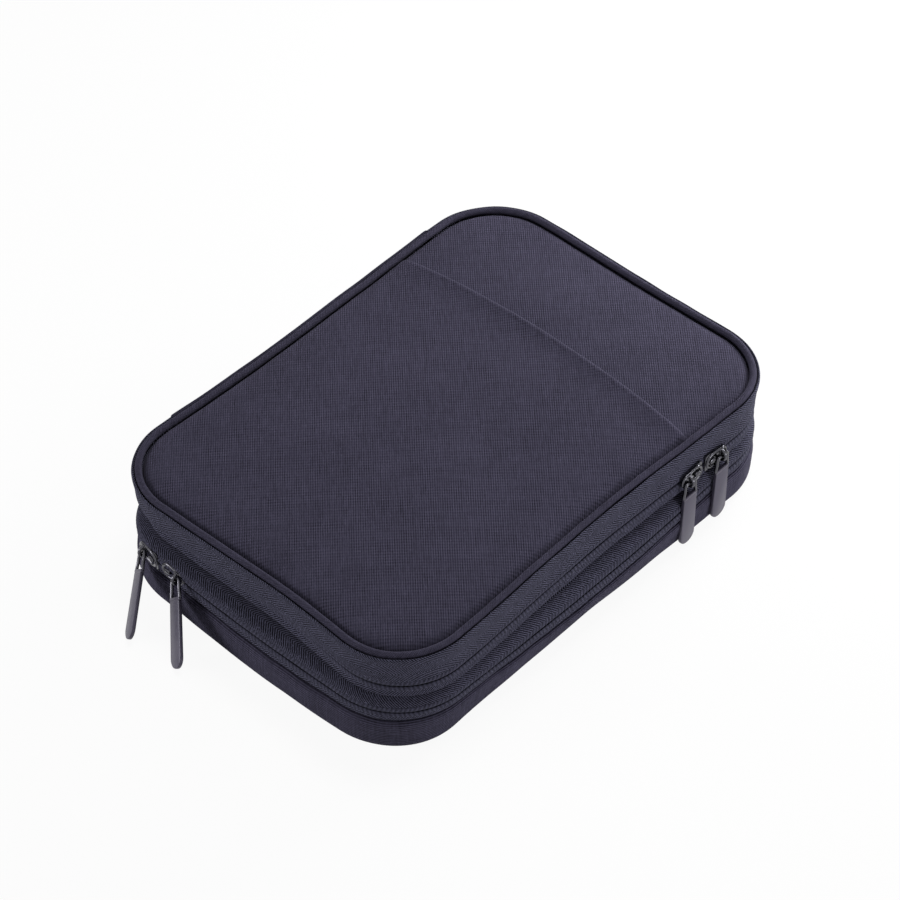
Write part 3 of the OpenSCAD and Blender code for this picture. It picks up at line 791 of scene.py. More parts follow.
def tray_cloth():
    """The padded tray: outer wall with soft creases, rounded lower edge, flat bottom and inner face."""
    c = case()
    rim, r, t = mm(c.rim), mm(c.edge), mm(c.shell)
    crease_mm, swell_mm = 3.3, 0.07
    route = Route(2.0)
    wall = [(-t + 0.3, rim - 0.25), (-1.7, rim), (-0.9, rim - 0.35), (-0.25, rim - 1.2),
            (0.05, rim - 2.8), (0.1, 0.5 * (rim + r) + 0.6), (0.0, r + 0.4)]
    outer = smooth_line(wall + arc_line(-r, r, r, 12, 90, 8), 4) * MM
    inner = smooth_line(arc_line(-r, r, r - t, 90, 0, 7) + [(-t, rim - 3), (-t + 0.3, rim - 0.25)], 3) * MM
    s = route.stations[:, None]
    outer_points = profile_on_wall(route, outer, 21, 0.28)
    wander = ripple(s, route.around, 31, (2, 5, 9), 1.6)
    crease = np.sin(2 * math.pi * outer[None, :, 1] / (crease_mm * MM) + wander)
    window = np.interp(outer[:, 1], [0.2 * c.rim, 0.5 * c.rim, 0.85 * c.rim, c.rim], [0, 1, 1, 0])[None, :]
    swell = swell_mm * MM * crease * window * (0.6 + ripple(s, route.around, 32, (6, 11, 17), 0.5))
    outer_points[..., 0] += route.nx[:, None] * swell
    outer_points[..., 1] += route.ny[:, None] * swell
    outer_points[..., 2] = np.maximum(outer_points[..., 2], 0.0)
    outer_points[:, -1, 2] = 0.0
    inner_points = profile_on_wall(route, inner)
    inner_points[:, 0, 2] = t * MM
    inner_points[:, -1] = outer_points[:, 0]
    cloth = Cloth()
    cloth.grid(outer_points, route.s, along(outer), wrap_rows=True)
    cloth.grid(inner_points, route.s, along(inner), wrap_rows=True)
    for border, height in ((outer_points[:, -1], 0.0), (inner_points[:, 0], t * MM)):
        rings = ring_sheet(border, 12)
        rings[..., 2] = height
        cloth.grid(rings, rings[..., 0], rings[..., 1], wrap_rows=True)
    piece = cloth.closed_piece("tray_padded_shell", weld=True)
    dressed(piece, "tray_weave", "shell_cloth", "tray", "tray_shell")


def tray_inner_cloth():
    """Lining of the tray: its wall and floor, with soft wrinkles."""
    c = case()
    rim, r, t = mm(c.rim), mm(c.edge), mm(c.shell) + 0.15
    thick, wrinkle_mm = 0.5, 0.3
    route = Route(2.5)
    line = [(-t, rim - 1.5), (-t - 0.1, 0.7 * rim), (-t, r)] + arc_line(-r, r, r - t, 15, 90, 6)
    back = [(x - thick, y) if y > r else (x - 0.6 * thick, y + 0.55) for x, y in line[::-1]]
    face = smooth_line(line, 3) * MM
    skin = smooth_line(back, 3) * MM
    outer = profile_on_wall(route, face)
    inner = profile_on_wall(route, skin, 61, 0.2)
    cloth = Cloth()
    cloth.grid(outer, route.s, along(face), wrap_rows=True)
    cloth.grid(inner, route.s, along(skin), wrap_rows=True)
    lip = np.stack([inner[:, -1], outer[:, 0]], 1)
    cloth.grid(lip, route.s, np.array([0, thick * MM]), wrap_rows=True)
    for border, wave in ((outer[:, -1], 0.0), (inner[:, 0], wrinkle_mm)):
        rings = ring_sheet(border, 22)
        x, y = rings[..., 0], rings[..., 1]
        fold = (ripple(x + 0.6 * y, 0.31, 62, (4, 7, 11), wave * MM)
                + ripple(y - 0.4 * x, 0.43, 63, (5, 9), wave * MM))
        calm = np.linspace(0, 1, rings.shape[1])[None, :] ** 0.5
        rings[..., 2] = border[:, None, 2] * (1 - calm) + border[:, 2].mean() * calm + np.abs(fold) * calm
        cloth.grid(rings, x, y, wrap_rows=True)
    piece = cloth.closed_piece("tray_inner_lining", weld=True)
    dressed(piece, "lining_grid", "lining_cloth", "tray", "tray_lining")


def edge_binding(name, node, body, width, seed, scallop_mm=0.0):
    """A folded tape sewn over cut edges, all round the case, where its node is."""
    low, high = node_mm(node)
    out = past_wall_mm(low)
    route = Route(1.5)
    line = smooth_line([(out, low[2] + 0.1), (out + 0.12, (low[2] + high[2]) / 2), (out, high[2] - 0.35),
                        (out - 0.3, high[2]), (out - width + 0.3, high[2]), (out - width, high[2] - 0.35),
                        (out - width, low[2] + 0.1)], 3, closed=True) * MM
    lift = ripple(route.stations[:, None], route.around, seed, (61, 83, 107, 139), scallop_mm * MM)
    points = on_wall(route, line[None, :, 0] + 0.6 * lift, line[None, :, 1] + lift, seed, 0.12)
    cloth = Cloth()
    cloth.grid(points, route.s, along(line, True), wrap_rows=True, wrap_across=True)
    dressed(cloth.closed_piece(name), "binding_rib", "binding_tape", body, node)


def bindings():
    edge_binding("tray_rim_binding", "tray_binding", "tray", 1.4, 71)
    edge_binding("divider_edge_binding", "leaf_edge_binding", "leaf", 1.6, 73, 0.16)
    edge_binding("lid_seam_binding", "lid_binding", "lid", 1.6, 75)


# ---------------------------------------------------------------- zips

def tape_cloth(name, profile_mm, body, node, seed):
    """The plain part of a zip tape. profile_mm lists (out, height) round its cut edge."""
    route = Route(1.8, closed=False)
    line = smooth_line(profile_mm, 2, closed=True) * MM
    cloth = Cloth()
    cloth.bar(profile_on_wall(route, line, seed, 0.16), route.s, along(line, True))
    dressed(cloth.closed_piece(name), "zip_tape_twill", "zip_tape", body, node)


def stitched_tape_edge(name, level, way, body, seed):
    """The tape's folded edge, which bulges over each turn of the coil. way is 1 above the gap."""
    z = zips()
    route = Route(1.8, closed=False).resampled(mm(z.pitch) / 4)
    s = route.stations[:, None]
    half, face, thick, width, bulge_mm, lean = mm(z.gap) / 2, -mm(z.face), 0.5, 2.35, 0.30, 0.28
    front = half + np.array([0, 0.12, 0.5, 0.95, 1.4, 1.8, 2.1, width])
    back = half + np.array([width, 1.2, 0.15])
    bulge = bulge_mm * np.sin(math.pi * np.clip((front - half) / width, 0, 1)) ** 0.7
    sway = ripple(s, route.around, seed, (90, 131, 170), 0.12)
    turn = np.abs(np.sin(math.pi * (s / z.pitch + lean * front[None, :]) + sway))
    out = face - 0.12 * (front[None, :] < half + 0.05) + bulge[None, :] * (0.6 + 0.4 * turn ** 0.8)
    up = front[None, :] + 0.10 * (1 - turn[:, :1]) * (front[None, :] < half + 0.3)
    out = np.hstack([out, np.full((len(s), len(back)), face - thick)])
    up = np.hstack([up, np.broadcast_to(back, (len(s), len(back)))])
    points = on_wall(route, out * MM, mm(level) * MM + way * up * MM, seed + 1, 0.08)
    v = np.concatenate([front, front[-1] + thick + front[-1] - back, [2 * front[-1] + 2 * thick]]) * MM
    cloth = Cloth()
    cloth.bar(points, route.s, v)
    dressed(cloth.closed_piece(name, sharp_deg=75), "zip_edge_stitch", "zip_tape", body)


def coil_spiral(name, level, way, body, node):
    """The coil behind the tape: one nylon thread in a flattened spiral."""
    z = zips()
    route = Route(1.8, closed=False).resampled(mm(z.pitch) / 9)
    half_depth, off_gap = 0.8 * MM, 0.5 * MM
    turn = 2 * math.pi * route.stations / z.pitch
    out = -z.face - z.tape - half_depth + (half_depth - z.wire / 2) * np.sin(turn)
    up = level + way * (off_gap + z.coil / 2) + (z.coil / 2 - z.wire / 2) * np.cos(turn) * way
    line = on_wall(route, out[:, None], up[:, None])[:, 0]
    beside = np.stack([-route.ny, route.nx, 0 * route.nx], 1)
    cloth = Cloth()
    tube(cloth, line, z.wire / 2, sides=5, beside=beside)
    dressed(cloth.closed_piece(name), "zip_coil_nylon", "zip_coil", body, node)


def zip_tapes():
    c, z = case(), zips()
    face, back = -mm(z.face), -mm(z.face + z.tape)
    rim, low, valley, high, lid = mm(c.rim), mm(c.lower_zip), mm(c.valley), mm(c.upper_zip), mm(c.lid_edge)
    v_in = mm(c.valley_in)
    turned = v_in + 3.6  # how far in the leaf's seam allowances reach
    reach = 2.1  # from a zip's middle to where its plain tape begins
    tape_cloth("tray_tape", [
        (face, low - reach), (face + 0.05, rim + 2.2), (face - 0.25, rim + 1.45), (face - 0.95, rim + 0.95),
        (-2.3, rim + 0.6), (-2.55, rim - 0.6), (-2.5, rim - 3.4), (-3.15, rim - 3.5), (-3.2, rim - 0.4),
        (-2.9, rim + 0.7), (-1.7, rim + 0.95), (back - 0.1, rim + 1.4), (back, low - reach)
    ], "tray", "tray_zip_tape", 41)
    tape_cloth("leaf_lower_tape", [
        (face, low + reach), (face - 0.2, low + 3.4), (face - 0.9, low + 4.6), (face - 1.9, low + 5.6),
        (-v_in - 0.3, low + 6.4), (-v_in - 1.4, valley - 2.1), (-v_in - 2.3, valley - 1.6),
        (-turned, valley - 1.5), (-turned, valley - 2.05), (-v_in - 2.2, valley - 2.3),
        (-v_in - 0.8, low + 5.6), (back - 1.5, low + 4.7), (back - 0.6, low + 3.8), (back, low + 3.0),
        (back, low + reach)
    ], "leaf", "leaf_lower_zip_tape", 43)
    tape_cloth("leaf_upper_tape", [
        (face, high - reach), (face + 0.1, valley + 1.8), (face + 0.3, valley + 0.9),
        (face + 0.05, valley + 0.1), (face - 0.9, valley - 0.3), (-v_in - 0.3, valley + 0.3),
        (-turned, valley + 0.45), (-turned, valley + 1.0), (-v_in - 0.3, valley + 0.95),
        (back - 0.7, valley + 1.1), (back - 0.1, valley + 1.8), (back, high - reach)
    ], "leaf", "leaf_upper_zip_tape", 45)
    tape_cloth("lid_tape", [
        (face, high + reach), (face + 0.04, high + 5.0), (face + 0.3, lid - 3.4), (face + 0.6, lid - 1.0),
        (face + 0.8, lid + 0.9), (face + 0.75, lid + 1.8), (face + 0.35, lid + 2.25), (face - 0.1, lid + 1.8),
        (face - 0.35, lid + 0.6), (-1.5, lid - 0.4), (-4.2, lid - 0.12), (-7.8, lid - 0.12),
        (-7.8, lid - 0.75), (-3.2, lid - 0.8), (back - 0.6, lid - 1.1), (back - 0.1, lid - 2.4),
        (back, high + 4.0), (back, high + reach)
    ], "lid", "lid_zip_tape", 47)
    stitched_tape_edge("tray_tape_edge", c.lower_zip, -1, "tray", 51)
    stitched_tape_edge("leaf_lower_tape_edge", c.lower_zip, 1, "leaf", 53)
    stitched_tape_edge("leaf_upper_tape_edge", c.upper_zip, -1, "leaf", 55)
    stitched_tape_edge("lid_tape_edge", c.upper_zip, 1, "lid", 57)


def zip_coils():
    c = case()
    coil_spiral("tray_coil", c.lower_zip, -1, "tray", "tray_zip_coil")
    coil_spiral("leaf_lower_coil", c.lower_zip, 1, "leaf", "leaf_lower_zip_coil")
    coil_spiral("leaf_upper_coil", c.upper_zip, -1, "leaf", "leaf_upper_zip_coil")
    coil_spiral("lid_coil", c.upper_zip, 1, "lid", "lid_zip_coil")


# ---------------------------------------------------------------- middle leaf

def divider():
    """The thin padded panel between the compartments, with soft faces and rounded edges."""
    wave_mm, edge_mm, deepest_mm = 0.12, 0.8, 8
    border = wall_line(past_wall_mm(DIVIDER_LOW) + 0.05, VALLEY, Route(2.5))
    border_in = inset_of(border[:, 0], border[:, 1])[:, None]
    near = [0.3 * MM, 0.8 * MM, 1.8 * MM, 4 * MM, 8 * MM]
    cloth = Cloth()
    for way, limit in ((1, DIVIDER_HIGH[2]), (-1, DIVIDER_LOW[2])):
        rings = ring_sheet(border, 26, near)
        x, y = rings[..., 0], rings[..., 1]
        deep = np.minimum(inset_of(x, y) - border_in, deepest_mm * MM)
        round_edge = 1 - np.exp(-np.maximum(deep, 0) / (edge_mm * MM))
        soft = (ripple(x + 0.3 * y, 0.37, 81, (3, 5, 8), wave_mm * MM)
                + ripple(y - 0.2 * x, 0.41, 82, (4, 7), wave_mm * MM))
        rings[..., 2] = (VALLEY * MM + (limit - VALLEY) * MM * round_edge
                         - way * np.abs(soft) * round_edge * (deep > 1 * MM))
        rings[:, 0, 2] = VALLEY * MM
        cloth.grid(rings, x, y, wrap_rows=True, flip=way < 0)
    piece = cloth.closed_piece("divider_pad", weld=True)
    dressed(piece, "lining_grid", "lining_cloth", "leaf", "leaf_divider")


def elastic_band():
    """A ribbed elastic band sewn down between its loops."""
    low, high = node_mm("leaf_elastic_loops")
    thick, loops, end, sewn, across, arch = 1.0, 5, 2, 4, 13, 17
    pitch = (high[0] - low[0] - 2 * end) / loops
    loop_w, rise = pitch - sewn, high[2] - low[2] - thick
    line = [(low[0], 0.0)]
    for k in range(loops):
        x0 = low[0] + end + k * pitch + sewn / 2
        line += [(x0 + loop_w * t, rise * math.sin(math.pi * t) ** 0.8) for t in np.linspace(0, 1, arch)]
    line = np.array(line + [(high[0], 0.0)])
    y = np.linspace(low[1], high[1], across)
    pinch = 0.35 * np.abs(np.linspace(-1, 1, across)) ** 6
    outer = np.stack([np.repeat(line[:, :1], across, 1), np.broadcast_to(y, (len(line), across)),
                      low[2] + thick + line[:, 1:] - pinch * (line[:, 1:] > 0.5)], -1)
    base = outer.copy()
    base[..., 2] = low[2] + 0.05 + np.maximum(line[:, 1:] - 0.1, 0)
    cloth = Cloth()
    cloth.slab(outer * MM, base * MM, along(line) * MM, y * MM, thick * MM)
    piece = cloth.closed_piece("divider_elastic_loops", weld=True)
    dressed(piece, "elastic_rib", "elastic", "leaf", "leaf_elastic_loops")
    seams = Cloth()
    for k in range(loops + 1):
        for shift in (-0.7, 0.7):
            x = low[0] + end + k * pitch + shift
            stitch_row(seams, (x, low[1] + 1, low[2] + thick), (x, high[1] - 1, low[2] + thick), 2.4)
    dressed(seams.piece("divider_elastic_stitches"), "sewing_thread", "elastic", "leaf")


def stitch_row(cloth, start, end, length_mm):
    """A row of sewn stitches, each a short low arch of thread. Places in mm."""
    start, end = np.array(start, float), np.array(end, float)
    count = max(1, int(np.linalg.norm(end - start) / length_mm))
    step = (end - start) / count
    for k in range(count):
        a, b = start + step * (k + 0.12), start + step * (k + 0.88)
        t = np.linspace(0, 1, 5)[:, None]
        line = a + (b - a) * t
        line[:, 2] += 0.16 * np.sin(math.pi * t[:, 0]) + 0.02
        tube(cloth, line * MM, 0.17 * MM, sides=5)


# ---------------------------------------------------------------- lid

PANEL_BORDER_MM = 0.6  # from the piping's inner side to the panel's sewn edge
PANEL_RISE_MM = 2.0  # height of that edge over the lid's edge seam
PANEL_NEAR = [0.35 * MM, 0.8 * MM, 1.4 * MM, 2.2 * MM, 3.4 * MM, 5.5 * MM, 9 * MM, 14 * MM]  # in from it
GROOVE_MM = 2.8  # depth of the groove beside the piping
GROOVE_FADE_MM = 1.15  # the groove is down to a third at this distance from the sewn edge


def crown_mm(x, y):
    """Height of the lid's crown over its edge, in mm, at a place in metres."""
    c = case()
    a, b = c.width / 2 - c.piping, c.length / 2 - c.piping
    across = 1 - np.minimum(np.abs(x) / a, 1) ** 2.3
    length = 1 - np.minimum(np.abs(y) / b, 1) ** 2.6
    return mm(c.crown) * across * length


def lid_waves(x, y):
    """Slow unevenness of the lid's padded face, in mm."""
    return (ripple(x + 0.35 * y, 0.37, 91, (3, 5, 8), 0.14) + ripple(y - 0.25 * x, 0.45, 92, (3, 6, 9), 0.14)
            + ripple(0.8 * x + y, 0.29, 93, (7, 11), 0.05))


def lid_face_mm(x, y, in_mm):
    """Height of the lid's face: it dips into the groove beside the piping."""
    c = case()
    groove = GROOVE_MM * np.exp(-np.maximum(in_mm, 0) / GROOVE_FADE_MM)
    calm = 1 - np.exp(-np.maximum(in_mm, 0) / 6)
    return mm(c.lid_edge) + mm(c.shell) + crown_mm(x, y) - groove + calm * lid_waves(x, y)


def lid_rings(route, border_mm, rings):
    """Rings over the lid's face, each point's distance in from the seam, and how far it follows the seam
    up or down."""
    border = wall_line(-border_mm, mm(case().lid_edge) + PANEL_RISE_MM, route)
    sheet = ring_sheet(border, rings, PANEL_NEAR)
    in_mm = mm(np.linalg.norm((sheet - sheet[:, :1])[..., :2], axis=-1))
    stray = (border[:, 2] - np.median(border[:, 2]))[:, None] * np.exp(-in_mm / 12)
    return sheet, in_mm, stray


def lid_panel():
    """The lid's padded top panel."""
    edge_mm = 0.6
    route = Route(2.0)
    rings, in_mm, stray = lid_rings(route, mm(case().piping) + PANEL_BORDER_MM, 34)
    x, y = rings[..., 0], rings[..., 1]
    rings[..., 2] = lid_face_mm(x, y, in_mm) * MM + stray
    under = rings.copy()
    under[..., 2] -= np.interp(in_mm, [0, 2, 10], [edge_mm, 1.9, 2.2]) * MM
    cloth = Cloth()
    cloth.grid(rings, x, y, wrap_rows=True)
    cloth.grid(under, x, y, wrap_rows=True, flip=True)
    cloth.grid(np.stack([rings[:, 0], under[:, 0]], 1), route.s, np.array([0, edge_mm * MM]), wrap_rows=True)
    piece = cloth.closed_piece("lid_padded_panel", weld=True)
    dressed(piece, "shell_weave", "shell_cloth", "lid", "lid_panel")


def mouth_bow(x):
    c = case()
    return c.mouth_bow * (1 - (x / (c.width / 2)) ** 2)


def pocket_face_mm(x, y, back, in_mm):
    """Height of the slip pocket over the lid. back is the distance from its mouth."""
    c = case()
    hem, skin_off = mm(c.hem), 0.12
    held = 1 - math.exp(-in_mm / 3.0)  # 0 where it is sewn into the lid's seam
    fold = 2.0 * (1 - math.exp(-back / 1.0)) * math.exp(-back / 4)
    seam = -0.06 * math.exp(-((back - hem - 0.15) / 0.35) ** 2)
    lift = 0.8 * math.exp(-back / 9) * max(0.0, 1 - (x / (0.46 * c.width)) ** 2)  # it gapes in the middle
    pucker = 0.02 * math.sin(x / (1.9 * MM)) * math.exp(-abs(back - hem) / 2)
    face = float(lid_face_mm(np.float64(x), np.float64(y), np.float64(in_mm)))
    return face + held * (1.0 + fold + seam + lift + pucker) + skin_off


def pocket_cut():
    """The pocket's cloth laid flat, cut off at its mouth and ruled beside it for the hem."""
    c = case()
    rings, in_mm, stray = lid_rings(Route(2.0), mm(c.piping) + PANEL_BORDER_MM + 0.05, 40)
    work = bmesh.new()
    edge_in = work.verts.layers.float.new("edge_in")
    edge_stray = work.verts.layers.float.new("edge_stray")
    verts = []
    for point, inward, lift in zip(rings.reshape(-1, 3), in_mm.ravel(), stray.ravel()):
        vert = work.verts.new((point[0], point[1] - mouth_bow(point[0]), 0.0))
        vert[edge_in], vert[edge_stray] = inward, lift
        verts.append(vert)
    for face in grid_faces(*rings.shape[:2], True)[0]:
        work.faces.new([verts[k] for k in face])
    bmesh.ops.remove_doubles(work, verts=work.verts, dist=0.03 * MM)
    hem = mm(c.hem)
    for back in (0, 0.25, 0.6, 1.2, 0.6 * hem, hem - 0.4, hem, hem + 0.4, hem + 1.2, 6, 10, 16):
        bmesh.ops.bisect_plane(
            work, geom=work.verts[:] + work.edges[:] + work.faces[:], dist=1e-7,
            plane_co=(0, c.mouth - back * MM, 0), plane_no=(0, 1, 0), clear_outer=back == 0)
    return work, edge_in, edge_stray


def thickened(work, skin):
    """Gives a flat sheet an underside and closes its edges."""
    rim_edges = [e for e in work.edges if e.is_boundary]
    copy = bmesh.ops.duplicate(work, geom=work.faces[:])
    under_faces = [g for g in copy["geom"] if isinstance(g, bmesh.types.BMFace)]
    for vert in {v for f in under_faces for v in f.verts}:
        vert.co.z -= skin
    bmesh.ops.reverse_faces(work, faces=under_faces)
    pair = copy["vert_map"]
    for edge in rim_edges:
        a, b = edge.verts
        if a in pair and b in pair:
            work.faces.new([b, a, pair[a], pair[b]])
    bmesh.ops.recalc_face_normals(work, faces=work.faces)


def slip_pocket():
    """The flat pocket on the lid: one panel, held in the lid's seam, with a folded hem at its bowed mouth."""
    c = case()
    work, edge_in, edge_stray = pocket_cut()
    for vert in work.verts:
        x, back = vert.co.x, mm(c.mouth - vert.co.y)
        y = vert.co.y + mouth_bow(x)
        vert.co.y = y
        vert.co.z = pocket_face_mm(x, y, back, vert[edge_in]) * MM + vert[edge_stray]
    bmesh.ops.recalc_face_normals(work, faces=work.faces)
    if sum(f.normal.z for f in work.faces) < 0:
        bmesh.ops.reverse_faces(work, faces=work.faces)
    thickened(work, 0.85 * MM)
    mesh = bpy.data.meshes.new("lid_slip_pocket_cloth")
    work.to_mesh(mesh)
    work.free()
    layer = mesh.uv_layers.new(name="Cloth")
    for loop in mesh.loops:
        place = mesh.vertices[loop.vertex_index].co
        layer.data[loop.index].uv = (place.x, place.y)
    shaded(mesh, 60)
    piece = in_scene("lid_slip_pocket_cloth", mesh)
    dressed(piece, "shell_weave", "shell_cloth", "lid", "lid_slip_pocket")


def piping():
    """Cloth wrapped round a cord, sewn into the lid's edge."""
    c = case()
    r, off_edge, rise = mm(c.piping) / 2 - 0.2, 1.1, 0.6
    route = Route(1.5)
    turn = np.radians(np.arange(0, 360, 20))
    line = np.stack([r * np.cos(turn) - off_edge - r, mm(c.lid_edge) + rise + r + r * np.sin(turn)], 1) * MM
    points = profile_on_wall(route, line, 95, 0.10)
    cloth = Cloth()
    cloth.grid(points, route.s, along(line, True), wrap_rows=True, wrap_across=True)
    dressed(cloth.closed_piece("lid_piping_cord"), "piping_weave", "piping_cloth", "lid", "lid_piping")


def lid_lining():
    """Lining under the lid's panel."""
    c = case()
    low, high = node_mm("lid_lining")
    edge, thick, wrinkle_mm = mm(c.lid_edge) - 0.15, 0.7, 0.25
    route = Route(2.5)
    border = wall_line(past_wall_mm(low), edge, route)
    border[:, 2] = edge * MM
    cloth = Cloth()
    for drop, wave in ((0.0, 0.0), (thick, wrinkle_mm)):
        rings = ring_sheet(border, 24, [1 * MM, 3 * MM])
        x, y = rings[..., 0], rings[..., 1]
        calm = np.linspace(0, 1, rings.shape[1])[None, :] ** 0.6
        fold = np.abs(ripple(x + 0.4 * y, 0.33, 97, (5, 8, 12), wave) + ripple(y, 0.47, 98, (6, 9), wave))
        start = crown_mm(border[:, 0], border[:, 1])[:, None]
        start = start * (1 - calm) + start.mean() * calm
        rings[..., 2] = (edge - drop + 0.85 * (crown_mm(x, y) - start) - fold * calm) * MM
        cloth.grid(rings, x, y, wrap_rows=True, flip=drop > 0)
    bottom = border.copy()
    bottom[:, 2] -= thick * MM
    cloth.grid(np.stack([border, bottom], 1), route.s, np.array([0, thick * MM]), wrap_rows=True)
    piece = cloth.closed_piece("lid_lining_cloth", weld=True)
    dressed(piece, "lining_grid", "lining_cloth", "lid", "lid_lining")


def net_pocket():
    """A pocket of knitted net inside the lid: threads that meet in turn, left and right."""
    low, high = node_mm("lid_mesh")
    z = (low[2] + high[2]) / 2
    net_in = -past_wall_mm(low)
    pitch, half_step, wire, knot_gap, knot_mm = 2.8, 1.6, 0.17, 0.08, 0.12
    y = np.arange(low[1], high[1] + 0.01, half_step / 2)
    turn = math.pi * y / half_step / 2
    cloth = Cloth()
    for k in range(int((high[0] - low[0]) / pitch) + 1):
        side = 1 if k % 2 else -1
        x = low[0] + k * pitch + 0.5 + side * (pitch / 2 - knot_gap) * np.sin(turn)
        keep = inset_of(x * MM, y * MM) >= net_in * MM
        if keep.sum() < 3:
            continue
        line = np.stack([x[keep], y[keep], z + knot_mm * side * np.cos(turn[keep])], 1) * MM
        tube(cloth, line, wire * MM, sides=4)
    dressed(cloth.piece("lid_net", 180), "net_knit", "mesh", "lid", "lid_mesh")


def net_elastic():
    """The gathered elastic edge of the net pocket."""
    low, high = node_mm("lid_mesh_edge")
    thick, gather_mm, columns = 0.6, 0.16, 9
    x = np.arange(low[0], high[0] + 0.1, 0.8)
    gather = gather_mm * np.sin(2 * math.pi * x / 3.4 + 0.7 * np.sin(x / 11))
    y = np.linspace(low[1], high[1], columns)
    across = np.linspace(-1, 1, columns)
    top = np.stack([np.repeat(x[:, None], columns, 1),
                    np.broadcast_to(y, (len(x), columns)) + 0.5 * gather[:, None] * across,
                    high[2] - 0.2 + gather[:, None] * (1 - 0.6 * across ** 2)], -1)
    base = top.copy()
    base[..., 2] -= thick
    cloth = Cloth()
    cloth.slab(top * MM, base * MM, x * MM, y * MM, thick * MM)
    piece = cloth.closed_piece("lid_net_elastic", weld=True)
    dressed(piece, "elastic_rib", "elastic", "lid", "lid_mesh_edge")


# ---------------------------------------------------------------- spine

def spine_piece(name, profile_mm, nodes, seed):
    """Cloth across the spine from one body to the next. Above the valley it bows out with the lid's soft
    edge.
    """
    c = case()
    end, round_mm, fold_mm = STRIP_HIGH[1], 0.9, 2.6
    y = np.concatenate([[-end, -end + 0.3, -end + 0.9], np.linspace(-end + 2.5, end - 2.5, 60),
                        [end - 0.9, end - 0.3, end]])
    line = smooth_line(profile_mm, 3, closed=True)
    from_end = np.minimum(end - np.abs(y), round_mm)
    round_end = np.sqrt(np.clip(1 - (1 - from_end / round_mm) ** 2, 0, 1))
    around = 2 * end * MM
    s = (y + end) * MM
    soft = ripple(s, around, seed, (2, 3, 5), 0.16)[:, None] + 0.10 * np.sin(
        line[None, :, 1] / 4.2 + ripple(s, around, seed + 1, (1, 2, 4), 1.4)[:, None])
    pinned = np.interp(line[:, 0], [-0.4, 0.9], [0, 1])[None, :]  # only its outer face is soft
    middle = (line[:, 0].max() + line[:, 0].min()) / 2
    out = middle + (line[None, :, 0] - middle) * (0.55 + 0.45 * round_end[:, None]) + soft * pinned
    with_lid = np.interp(line[:, 1], [mm(c.valley), mm(c.lid_edge)], [0, 1]) ** 1.5
    out = out + spine_bow_mm(y, end)[:, None] * with_lid[None, :]
    points = np.stack([-(mm(c.width) / 2 + out), np.broadcast_to(y[:, None], out.shape),
                       np.broadcast_to(line[None, :, 1], out.shape)], -1) * MM
    cloth = Cloth()
    cloth.bar(points, y * MM, along(line, True) * MM)
    piece = dressed(cloth.closed_piece(name), "spine_weave", "shell_cloth", None, *nodes)
    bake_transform(piece)


def spine_bow_mm(y, end):
    """How far the lid's soft edge stands out along the spine."""
    way = Route(2.0)
    spine = (way.nx == -1) & (np.abs(way.y) <= end * MM)
    order = np.argsort(way.y[spine])
    return mm(np.interp(y * MM, way.y[spine][order], way.lid[spine][order]))


def upright(out, low, high, step):
    """Points up or down one straight line of a profile."""
    count = max(2, int(round(abs(high - low) / step)))
    return [(out, low + (high - low) * k / count) for k in range(count + 1)]


def spine_cloths():
    c = case()
    t, edge = mm(c.spine), mm(c.edge)
    low, mid, high, lid, rim = (mm(v) for v in (c.lower_zip, c.valley, c.upper_zip, c.lid_edge, c.rim))
    seam = mid - 0.6
    lower = ([(0.15, edge - 0.5), (0.8, edge), (t, edge + 1.4)] + upright(t, edge + 3, seam - 1.5, 1.1)
             + [(t - 0.25, seam - 0.3), (t - 0.75, seam)] + upright(-1.6, seam - 0.4, rim + 1.2, 1.1)
             + [(-0.9, rim + 0.85), (0.05, rim + 0.6)] + upright(0.1, rim, edge + 1.5, 2.0))
    spine_piece("spine_cloth_lower", lower, ["spine_tray"], 101)
    upper = ([(t - 0.75, seam + 0.25), (t - 0.25, seam + 0.5)] + upright(t, seam + 1.7, lid - 0.6, 1.1)
             + [(t - 0.05, lid + 0.6), (t - 0.45, lid + 1.8), (t - 1.05, lid + 2.2), (t - 1.5, lid + 1.7),
                (-0.6, lid + 0.3), (-1.2, lid - 0.4)] + upright(-1.6, lid - 1.0, seam + 0.7, 1.1))
    spine_piece("spine_cloth_upper", upper, ["spine_leaf", "spine_lid"], 105)


# ---------------------------------------------------------------- sliders and pulls
# Each is made flat, in mm: x along the zip with the nose at +x, y up the wall, z outwards from the tape.

def on_opening_wall(y_mm, way):
    c, z = case(), zips()
    turn = Matrix.Rotation(math.radians(90), 4, "Z") @ Matrix.Rotation(math.radians(90), 4, "X")
    return (Matrix.Translation((mm(c.width) / 2 - mm(z.face), y_mm, mm(c.upper_zip))) @ turn
            @ Matrix.Diagonal((way, 1, 1, 1)))


def on_end_wall(x_mm, way):
    c, z = case(), zips()
    return (Matrix.Translation((x_mm, -mm(c.length) / 2 + mm(z.face), mm(c.lower_zip)))
            @ Matrix.Rotation(math.radians(90), 4, "X") @ Matrix.Diagonal((way, 1, 1, 1)))


def on_spine_corner(turn_deg):
    c = case()
    x, y = mm(c.width) / 2 - mm(c.corner), mm(c.length) / 2 - mm(c.corner)
    return (Matrix.Translation((-x, -y, 0)) @ Matrix.Rotation(math.radians(-turn_deg), 4, "Z")
            @ Matrix.Translation((x, y, 0)) @ on_end_wall(-x, 1))


def middle_of(node, axis):
    low, high = node_mm(node)
    return (low[axis] + high[axis]) / 2


def slider_places():
    """(name, matrix, swivel of the pull along the wall) for the four sliders."""
    return (
        ("lower_a", on_spine_corner(12), 45),
        ("lower_b", on_end_wall(middle_of("lower_slider_b", 0), -1), -45),
        ("upper_a", on_opening_wall(middle_of("upper_slider_a", 1), 1), 0),
        ("upper_b", on_opening_wall(middle_of("upper_slider_b", 1), -1), 0),
    )


